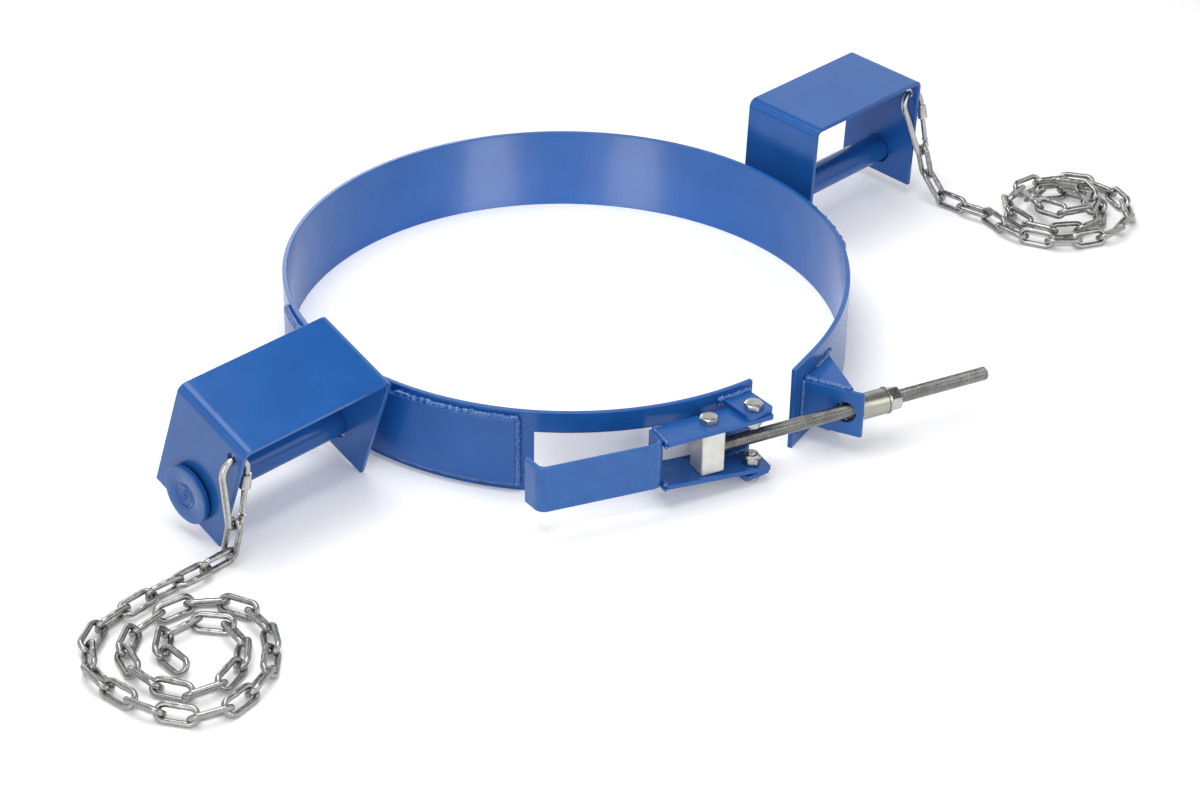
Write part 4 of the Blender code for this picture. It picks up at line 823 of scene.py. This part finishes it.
def make_handle():
    """Flat bar bent along a path of three straight runs, and the beads that hold the lever's plates to it."""
    web = PLATE_LEFT_U - CLEAR - HANDLE_THICK / 2
    corner = np.array([web, HANDLE_CORNER_V])
    far = corner + HANDLE_REACH * turned_to(180 - HANDLE_LEAN)
    tip = far + HANDLE_HOOK * turned_to(180 - HANDLE_LEAN - HANDLE_HOOK_TURN)
    path = rounded([(web, PLATE_BACK), corner, far, tip], HANDLE_BEND_R, 6.0)
    axes = (LATCH_ALONG, LATCH_ACROSS, UPWARD, LATCH_ORIGIN)
    shell = flat_bar(path, HANDLE_THICK, HANDLE_LOW, HANDLE_HIGH, 0.0011, 0.0013, *axes)
    piece("lever_handle_bar", [shell], HAMMERED, "lever", ["lever_handle"])
    beads = []
    v = np.linspace(-PLATE_FRONT + 0.003, PLATE_BACK - 0.002, 60)
    low = lower_plate_level(PLATE_LEFT_U)
    for n, z in enumerate((0.0780, 0.0730, low + 0.0052, low - 0.0004)):
        beads.append(weld_bead(in_latch(PLATE_LEFT_U - 0.0008, v, z), 0.0021, UPWARD, seed=3.0 + n))
    piece("lever_welds", beads, WELD_ENAMEL, "lever")


def make_lug_welds():
    """Beads where the two latch lugs stand on the band, above and below each of them."""
    beads = []
    flat = arc((0, 0), BAND_OUTER_R + 0.0010, *LUG_SPAN, 0.15)
    for n, z in enumerate((LUG_TOP + 0.0004, LUG_TOP - 0.0054, LUG_BASE + 0.0054, LUG_BASE - 0.0004)):
        beads.append(weld_bead(at_height(flat, z), 0.0030, UPWARD, seed=n * 1.7))
    piece("latch_lug_welds", beads, WELD_ENAMEL, "ring")


def make_rod_lug_welds():
    """A bead up the corner between the rod's lug and the band, and two along the far edges of each gusset. The
    corner is where the lug's near and far faces, drawn on from the rod's hole, meet the band's flat outer face."""
    hole = np.array(PIVOT) + ROD_LUG_U * turned_to(LATCH_TURN) + TRUNNION[1] * turned_to(LATCH_TURN + 90)
    normal, out, far = turned_to(BAND_FLAT_TURN), turned_to(ROD_LUG_TURN - 90), turned_to(ROD_LUG_TURN)
    wall = band_path()[-2] + normal * (BAND_THICK / 2)

    def corner(face):
        """Where one face of the lug, near at -1 and far at 1, meets the band: a line met with a plane."""
        start = hole + far * face * ROD_LUG_THICK / 2
        return start + out * ((wall - start) @ normal) / (out @ normal)

    near = corner(-1) - far * 0.0006 + normal * 0.0008
    rise = np.linspace(ROD_LUG_LOW + 0.001, ROD_LUG_HIGH - 0.001, 80)
    beads = [weld_bead(upright(near, rise), 0.0028, (1, 0, 0), seed=1)]
    along_lug = corner(1) + far * 0.0004 + out * np.linspace(0.002, 0.046, 60)[:, None]
    centre = (BAND_MID_R - BAND_EASE_R) * turned_to(BAND_EASE_FROM)
    seam_r = BAND_EASE_R + BAND_THICK / 2 + 0.0006
    along_band = arc(centre, seam_r, BAND_FLAT_TURN + 0.5, BAND_FLAT_TURN + 6.5, 0.1)
    for n, z in enumerate((ROD_LUG_HIGH + 0.0003, ROD_LUG_LOW - 0.0003)):
        beads.append(weld_bead(at_height(along_lug, z), 0.0029, UPWARD, seed=n + 5.0))
        beads.append(weld_bead(at_height(along_band, z), 0.0026, UPWARD, seed=n + 8.0))
    piece("rod_lug_welds", beads, WELD_ENAMEL, "ring")


def screw(start, end, e1, e2, e3, origin, radius, pitch, depth, sides=36, chamfer=0.0012):
    """A threaded bar: at height s and angle t its radius falls from the crest by the depth times a
    triangle wave of s / pitch - t / turn, flattened at crest and root; both ends are chamfered."""
    count = int((end - start) / pitch * 9)
    s = np.linspace(start, end, count)
    t = np.linspace(0, 2 * np.pi, sides, endpoint=False)
    phase = (s[:, None] / pitch - t[None, :] / (2 * np.pi)) % 1.0
    wave = np.clip(np.abs(2 * phase - 1) * 1.35 - 0.18, 0, 1)
    r = radius - depth * wave
    limit = radius - chamfer + np.minimum(s - start, end - s)
    r = np.minimum(r, limit[:, None])
    spokes = np.cos(t)[:, None] * np.asarray(e1) + np.sin(t)[:, None] * np.asarray(e2)
    rows = np.asarray(origin) + r[..., None] * spokes[None] + s[:, None, None] * np.asarray(e3)
    return skin(rows)


def hex_body(flats, low, high, e1, e2, e3, origin, turn=0.0, chamfer_low=False, bore=0.0, collar=0.0):
    """A hexagon whose corners are cut back by a cone at its ends: at each angle the radius is the lesser of
    the hexagon's and the cone's. A bore makes it a nut, and a collar is the round rim of a lock nut."""
    t = np.linspace(0, 2 * np.pi, 96, endpoint=False)
    hexagon = flats / 2 / np.cos((t + np.pi / 6) % (np.pi / 3) - np.pi / 6)
    narrow = flats / 2 * 0.96
    spread = flats / math.sqrt(3) - narrow
    drop = spread * 0.55

    def cut(part):
        """The hexagon inside a circle that is this part of the way from its narrow radius to its corners."""
        return np.minimum(hexagon, narrow + spread * part)

    def circle(radius):
        """One radius at every angle."""
        return np.full(96, radius)

    levels = [(circle(bore), low)] if bore else []
    levels.append((circle(max(bore + 0.0003, flats / 2 * 0.8) if bore else flats / 2 * 0.55), low))
    for part in np.linspace(0, 1, 6):
        levels.append((cut(part), low + drop * part) if chamfer_low else (hexagon, low + 0.0001 * part))
    levels += [(cut(part), high - drop * part) for part in np.linspace(1, 0, 6)]
    top = high + collar
    if collar:
        edge = 0.0012
        for a in np.radians((0.0, 30.0, 60.0, 90.0)):
            levels.append((circle(flats / 2 * 0.90 - edge + edge * math.cos(a)), top - edge + edge * math.sin(a)))
    levels.append((circle(bore + 0.0004 if bore else flats / 2 * 0.5), top))
    if bore:
        levels.append((circle(bore), top - 0.0004))
    spokes = np.cos(t + turn)[:, None] * np.asarray(e1) + np.sin(t + turn)[:, None] * np.asarray(e2)
    rows = np.stack([np.asarray(origin) + r[:, None] * spokes + z * np.asarray(e3) for r, z in levels])
    return skin(rows, loop=bool(bore))


def round_bar(radius, low, high, e1, e2, e3, origin, sides=32, edge=0.0004):
    """A straight round bar with chamfered ends, turned from its outline."""
    profile = [(radius - edge, low), (radius, low + edge), (radius, high - edge), (radius - edge, high)]
    return skin(revolve(profile, e1, e2, e3, origin, sides))


def make_bolts():
    """Hexagon bolts and lock nuts at the pivot, and the bolts that the trunnion block turns on."""
    up = (LATCH_ALONG, LATCH_ACROSS, UPWARD)
    down = (LATCH_ALONG, -LATCH_ACROSS, -UPWARD)
    pivot = in_latch(0.0, 0.0, 0.0)
    swing = in_latch(*TRUNNION, 0.0)
    shank = BOLT_R - 0.0001
    threaded = 0.006

    def bolt(name, axes, origin, seat, end, body, node, turn=0.0):
        """Head from its seat outwards, and a shank inwards with a thread on its last run."""
        head = hex_body(BOLT_FLATS, seat, seat + BOLT_HEAD, *axes, origin, turn)
        plain = round_bar(shank, end + threaded, seat + 0.001, *axes, origin)
        thread = screw(end, end + threaded + FINE, *axes, origin, shank, BOLT_PITCH, 0.0008)
        piece(name, [head, plain, thread], ZINC, body, [node], sharp=32)

    def lock_nut(name, axes, seat, node, turn):
        """A nut from its seat outwards, with the round collar that holds its plastic ring."""
        nut = hex_body(BOLT_FLATS, seat, seat + LOCKNUT_THICK, *axes, pivot, turn, True, BOLT_R, LOCKNUT_COLLAR)
        piece(name, [nut], ZINC, "ring", [node], sharp=32)

    corner = BOLT_FLATS / math.sqrt(3)
    plate_top = LUG_TOP - PLATE_THICK - CLEAR
    nut_top = plate_top - PLATE_THICK - CLEAR
    bolt("pivot_screw_upper", up, pivot, LUG_TOP + CLEAR, nut_top - BOLT_REACH, "ring", "pivot_bolt_upper")
    lock_nut("pivot_locknut_upper", down, -nut_top, "pivot_nut_upper", 0.0)
    nut_low = lower_plate_level(-corner) + PLATE_THICK + CLEAR
    bolt("pivot_screw_lower", down, pivot, CLEAR - LUG_BASE, -(nut_low + BOLT_REACH), "ring", "pivot_bolt_lower")
    lock_nut("pivot_locknut_lower", up, nut_low, "pivot_nut_lower", math.radians(12))
    end = plate_top - PLATE_THICK - TRUNNION_PLAY - BOLT_REACH
    bolt("trunnion_screw_upper", up, swing, plate_top + CLEAR, end, "drawbar", "trunnion_bolt_upper", 0.4)
    end = lower_plate_level(TRUNNION[0] - TRUNNION_HALF) + PLATE_THICK + TRUNNION_PLAY + BOLT_REACH
    seat = CLEAR - lower_plate_level(TRUNNION[0] + corner)
    bolt("trunnion_screw_lower", down, swing, seat, -end, "drawbar", "trunnion_bolt_lower")


def make_drawbar():
    """The threaded rod, and on it the mitred spacer tube, the washer and the nut. At each angle the tube's near
    end starts where the slope of its cut has it."""
    axes = (LATCH_ACROSS, UPWARD, LATCH_ALONG)
    origin = in_latch(*TRUNNION, ROD_Z)
    rod = screw(ROD_START, ROD_END, *axes, origin, ROD_R, ROD_PITCH, 0.0011)
    piece("threaded_drawbar", [rod], THREAD_ZINC, "drawbar", ["threaded_rod"], sharp=60)
    t = np.linspace(0, 2 * np.pi, 64, endpoint=False)
    spokes = np.cos(t)[:, None] * LATCH_ACROSS + np.sin(t)[:, None] * UPWARD
    face = ROD_LUG_U - TRUNNION[0] + TUBE_SEAT / math.cos(math.radians(ROD_LUG_TURN - LATCH_TURN))
    slope = np.cos(t) * math.tan(math.radians(TUBE_MITRE))
    rings = [
        (TUBE_BORE_R, face - TUBE_BORE_R * slope),
        (TUBE_R - FINE, face - (TUBE_R - FINE) * slope),
        (TUBE_R, face - TUBE_R * slope + FINE),
    ]
    rings += [(TUBE_R, TUBE_END - FINE + 0 * t), (TUBE_R - FINE, TUBE_END + 0 * t)]
    rings += [(TUBE_BORE_R + FINE, TUBE_END + 0 * t), (TUBE_BORE_R, TUBE_END - FINE + 0 * t)]
    rows = np.stack([origin + r * spokes + s[:, None] * LATCH_ALONG for r, s in rings])
    piece("spacer_tube_steel", [skin(rows, loop=True)], TUBE_ZINC, "adjuster", ["spacer_tube"])
    low = TUBE_END + CLEAR
    high = low + WASHER_THICK
    edge = 0.0004
    profile = [(TUBE_BORE_R, low), (WASHER_R - edge, low), (WASHER_R, low + edge)]
    profile += [(WASHER_R, high - edge), (WASHER_R - edge, high), (TUBE_BORE_R, high)]
    washer = skin(revolve(profile, *axes, origin, 64), loop=True)
    piece("drawbar_washer", [washer], ZINC, "adjuster", ["rod_washer"])
    low = high + CLEAR
    nut = hex_body(NUT_FLATS, low, low + NUT_THICK, *axes, origin, 0.0, True, ROD_R + 0.0002)
    piece("drawbar_nut", [nut], ZINC, "nut", ["rod_nut"], sharp=32)


# ---------------------------------------------------------------- snap hooks


def hook_circles():
    """The middles of the hook's top and foot circles in its own plane, and the angles, in degrees, at which the
    two lines that touch both circles leave them: first the spine's side, then the gate's."""
    top = np.array([0.0, -HOOK_TOP_R])
    foot = np.array([HOOK_FOOT_A, HOOK_FOOT_R - HOOK_LENGTH])
    gap = top - foot
    lean = math.degrees(math.atan2(gap[1], gap[0]))
    spread = math.degrees(math.acos((HOOK_FOOT_R - HOOK_TOP_R) / np.linalg.norm(gap)))
    return top, foot, lean - spread, lean + spread


def gate_line():
    """The gate's two ends and the way up it, on the line that touches both circles on the gate's side."""
    top, foot, gate_side = (hook_circles()[k] for k in (0, 1, 3))
    upper = top + HOOK_TOP_R * turned_to(gate_side)
    lower = foot + HOOK_FOOT_R * turned_to(gate_side)
    up = unit(upper - lower)
    return lower + up * (GATE_INSET + GATE_R + CLEAR), upper - up * (GATE_INSET + CLEAR), up


def swing_matrix(side):
    """From the hook's swing axis to the part's frame: its lean, then the hole's place, then the sleeve's tilt."""
    tilt = SLEEVE_TILT[side]
    sleeve = Matrix.Translation((0, AXLE_Y + RING_Y, AXLE_Z - SLEEVE_HANGS))
    sleeve = sleeve @ Euler((math.radians(tilt), 0, 0)).to_matrix().to_4x4()
    hole = Matrix.Translation((SIGN[side] * CHEEK_X, HOOK_HOLE_Y, HOOK_HOLE_Z))
    return sleeve @ hole @ Euler((math.radians(-tilt - HOOK_LEAN[side]), 0, 0)).to_matrix().to_4x4()


def in_hook_plane(side, points):
    """From the hook's own plane (a towards -X, d upwards) to the part's frame, turned about the plumb line."""
    points = np.atleast_2d(points)
    turn = math.radians(-HOOK_TURN[side])
    x, z = -points[:, 0], points[:, 1]
    drop = HOOK_HOLE_R - HOOK_WIRE_R - 4 * CLEAR
    ahead = x * math.cos(turn) + z * math.sin(turn)
    local = np.stack([ahead, 0 * x, z * math.cos(turn) - x * math.sin(turn) - drop], -1)
    place = np.array(swing_matrix(side))
    return local @ place[:3, :3].T + place[:3, 3]


def make_hook(side):
    """A pear-shaped wire hook, its gate on a rivet, and the knurled collar that screws over its nose."""
    top, foot, spine_side, gate_side = hook_circles()
    pivot, tip, up = gate_line()
    corner, right, above = (in_hook_plane(side, spot)[0] for spot in ((0, 0), (1, 0), (0, 1)))
    normal, rise = unit(np.cross(right - corner, above - corner)), unit(above - corner)
    bow = arc(top, HOOK_TOP_R, gate_side, spine_side, 5)
    toe = arc(foot, HOOK_FOOT_R, spine_side, gate_side - 360, 6)
    spine = np.linspace(bow[-1], toe[0], 14)[1:-1]
    path = np.concatenate([(tip + up * CLEAR)[None], bow, spine, toe, (pivot - up * (GATE_R + CLEAR))[None]])
    wire = tube(in_hook_plane(side, path), HOOK_WIRE_R, normal, 20)
    piece(f"snap_hook_wire_{side}", [wire], ZINC, f"hook_{side}", [f"snap_hook_{side}"])
    length = np.linalg.norm(tip - pivot)
    root, nose = in_hook_plane(side, np.stack([pivot, tip]))
    gate = tube(in_hook_plane(side, pivot + up * np.linspace(0.0, length, 20)[:, None]), GATE_R, normal, 20)
    rivet = tube(root + normal * np.linspace(-0.0030, 0.0030, 6)[:, None], 0.0020, rise, 16)
    heel = in_hook_plane(side, pivot + up * np.linspace(-FINE, 0.0001, 3)[:, None])
    eye = tube(heel, GATE_R, normal, 16, round_ends=True)
    piece(f"hook_gate_bar_{side}", [gate, rivet, eye], ZINC, f"gate_{side}", [f"hook_gate_{side}"])
    # collar: knurled by a diamond wave of angle and height, with plain rims
    high = length - 0.001
    low = high - COLLAR_LENGTH
    s = np.linspace(low, high, 60)[:, None]
    t = np.linspace(0, 2 * np.pi, 72, endpoint=False)
    knurl = np.abs(np.sin(9 * t + 1500 * s) * np.sin(9 * t - 1500 * s))
    rim = np.minimum(s - low, high - s)
    deep = KNURL_DEPTH * np.clip((rim - 0.0012) / 0.0006, 0, 1)
    r = np.minimum(COLLAR_R, COLLAR_R - 0.0008 + rim) - deep * (1 - knurl)
    along = unit(nose - root)
    spokes = np.cos(t)[:, None] * np.cross(normal, along) + np.sin(t)[:, None] * normal
    outside = root + r[..., None] * spokes + s[..., None] * along
    inside = root + COLLAR_BORE_R * spokes + np.array([high, low])[:, None, None] * along
    collar = skin(np.concatenate([outside, inside]), loop=True)
    piece(f"hook_screw_collar_{side}", [collar], ZINC, f"collar_{side}", [f"hook_collar_{side}"])


# ---------------------------------------------------------------- chains


def spline_point(points, place):
    """A point on a Catmull-Rom curve through the route's points: a cubic between two points, whose slope at
    each is half the step between that point's neighbours."""
    i = min(int(place), len(points) - 2)
    t = place - i
    a, b, c, d = points[max(i - 1, 0)], points[i], points[i + 1], points[min(i + 2, len(points) - 1)]
    return 0.5 * (2 * b + (c - a) * t + (2 * a - 5 * b + 4 * c - d) * t**2 + (3 * b - a - 3 * c + d) * t**3)


def chain_roll(side, index):
    """How far a link is rolled about its own length: the listed rolls first, then 45 degrees either way by turns."""
    first = FIRST_ROLLS[side]
    if index < len(first):
        return first[index]
    return 45.0 if index % 2 else -45.0


def lying_height(side, index):
    """The height of a link's middle when its lower side touches the floor at its roll."""
    half = CHAIN_WIDTH / 2 - CHAIN_WIRE_R
    return CHAIN_WIRE_R + half * abs(math.sin(math.radians(chain_roll(side, index)))) + CHAIN_LIFT


def chain_joints(side):
    """Where each link hangs on the one before: the hook's foot, the hanging links, then each a pitch further on
    along the curve through the route, no lower than the link's own roll lets it lie."""
    foot = hook_circles()[1]
    aside = CHAIN_ASIDE[side]
    rise = HOOK_FOOT_R - math.sqrt(HOOK_FOOT_R**2 - aside**2) + HOOK_WIRE_R + CHAIN_WIRE_R + CLEAR
    start = in_hook_plane(side, (foot[0] - aside, foot[1] - HOOK_FOOT_R + rise))[0]
    points = [Vector(start) - Vector((0, RING_Y, 0))]
    hanging = CHAIN_HANGING[side]
    for heading in CHAIN_HEADINGS[side]:
        drop = heading[2]
        if drop is None:
            drop = points[-1].z - lying_height(side, hanging) + CHAIN_SAG[side]
        reach = CHAIN_PITCH + (0.0 if len(points) > 1 else 2 * CHAIN_WIRE_R)
        run = Vector(heading[:2]).normalized() * math.sqrt(reach**2 - drop**2)
        points.append(points[-1] + Vector((run.x, run.y, -drop)))
    points[0] = points[0].lerp(points[1], 2 * CHAIN_WIRE_R / (CHAIN_PITCH + 2 * CHAIN_WIRE_R))
    points += [Vector((p[0], p[1], p[2] if len(p) > 2 else FLOOR_HEIGHT)) for p in CHAIN_ROUTE[side]]
    joints = [points[0]]
    place = 0.0
    while place < len(points) - 1:
        place += 0.01
        point = spline_point(points, min(place, len(points) - 1))
        if (point - joints[-1]).length >= CHAIN_PITCH:
            joints.append(point)
    for i in range(hanging + 1, len(joints)):
        rest = max(lying_height(side, max(i - 1, hanging)), lying_height(side, i))
        joints[i].z = max(joints[i].z, rest)
    return joints


def link_across(side, index, axis, heading):
    """The way across a link's wide side: level and square to its length, then rolled about its length."""
    level = Vector((0, 0, 1)).cross(axis)
    if level.length < 0.2:
        level = Vector((0, 0, 1)).cross(heading)
    level = (level - axis * level.dot(axis)).normalized()
    roll = math.radians(chain_roll(side, index))
    return level * math.cos(roll) + axis.cross(level) * math.sin(roll)


def make_chain(side):
    """All links at once: each is a wire along two half circles and two straight sides, with a swelling where
    its ends were welded together in the middle of one side."""
    joints = chain_joints(side)
    axes = [(b - a).normalized() for a, b in zip(joints, joints[1:])]
    last = len(axes) - 1
    widths = [link_across(side, i, a, axes[min(i + 1, last)]) for i, a in enumerate(axes)]
    starts, ends = [], []
    for i in range(last + 1):
        back = axes[i] * CHAIN_WIRE_R
        start = joints[i] - back
        if i:
            bend = axes[i - 1].cross(axes[i])
            if abs(bend.dot(widths[i])) > abs(bend.dot(widths[i - 1])):
                start += 2 * back - 2 * CHAIN_WIRE_R * axes[i - 1]
        if i == CHAIN_HANGING[side]:
            start.z += CHAIN_SAG[side]
        starts.append(start)
        ends.append(joints[i + 1] - back)
    starts, ends = to_row(np.array(starts)), to_row(np.array(ends))
    axis = unit(ends - starts)
    across = np.array(widths)
    across = unit(across - axis * (across * axis).sum(-1, keepdims=True))
    normal = np.cross(axis, across)
    bow_r = CHAIN_WIDTH / 2 - CHAIN_WIRE_R
    half = np.linalg.norm(ends - starts, axis=-1) / 2 + CHAIN_WIRE_R + LINK_SLACK - bow_r
    half[0] -= LINK_SLACK / 2
    # stations round the wire: the first bow, the far side, the second bow, the near side with its weld
    turns = np.linspace(0, np.pi, 15)
    sides = np.linspace(1, -1, 13)[1:-1]
    bow, side_run = np.ones(15), np.ones(11)
    ahead = np.concatenate([np.sin(turns), 0 * sides, -np.sin(turns), 0 * sides])
    aside = np.concatenate([np.cos(turns), -side_run, -np.cos(turns), side_run])
    shift = np.concatenate([bow, sides, -bow, -sides])
    bulge = np.concatenate([0 * bow, 0 * side_run, 0 * bow, np.exp(-((sides / 0.22) ** 2))])
    outward = axis[:, None] * ahead[:, None] + across[:, None] * aside[:, None]
    centre = (starts + ends)[:, None] / 2 + axis[:, None] * half[:, None, None] * shift[:, None] + bow_r * outward
    angles = np.linspace(0, 2 * np.pi, 14, endpoint=False)[:, None]
    radius = CHAIN_WIRE_R * (1 + 0.10 * bulge)
    spokes = np.cos(angles) * outward[:, :, None] + np.sin(angles) * normal[:, None, None]
    rows = centre[:, :, None] + radius[:, None, None] * spokes
    shells = [skin(link, loop=True) for link in rows]
    nodes = [f"chain_{side}_link_{n}" for n in (1, 2, 3, 4)] + [f"chain_{side}_laid"]
    chain = piece(f"safety_chain_{side}", shells, CHAIN_ZINC_DARKENED_AS_PAINTED_SHADE, f"chain_{side}", nodes)


# ---------------------------------------------------------------- blank label


def make_label():
    """A thin foil strip with nothing on it, laid on the band: an arc a hair above its outer face."""
    path = arc((0, 0), BAND_OUTER_R + 0.00022, *LABEL_SPAN, 0.6)
    shell = flat_bar(path, 0.00034, LABEL_LOW, LABEL_HIGH, 0.00012, 0.003)
    piece("blank_label_on_band", [shell], BLANK_LABEL, "ring")


# ---------------------------------------------------------------- the whole scene


def dress_carried_over():
    """Finishes for the plates and the block, whose CAD shapes show as they are."""
    plates = ("latch_lug_upper", "latch_lug_lower", "lever_plate_upper", "lever_plate_lower")
    plates += ("rod_lug_plate", "rod_gusset_upper", "rod_gusset_lower")
    for name in (*plates, "trunnion_block"):
        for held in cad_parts[name].material_slots:
            held.material = ENAMEL if name in plates else BLOCK_ZINC


make_camera()
make_chain("left")
make_chain("right")
make_lamps()
make_world()
make_floor()
make_ceiling()
make_band()
for which in ("left", "right"):
    make_doubler(which)
    make_axle(which)
    make_sleeve(which)
    make_hook(which)
make_handle()
make_lug_welds()
make_rod_lug_welds()
make_bolts()
make_drawbar()
make_label()
dress_carried_over()

bpy.context.scene.view_settings.view_transform = "Standard"
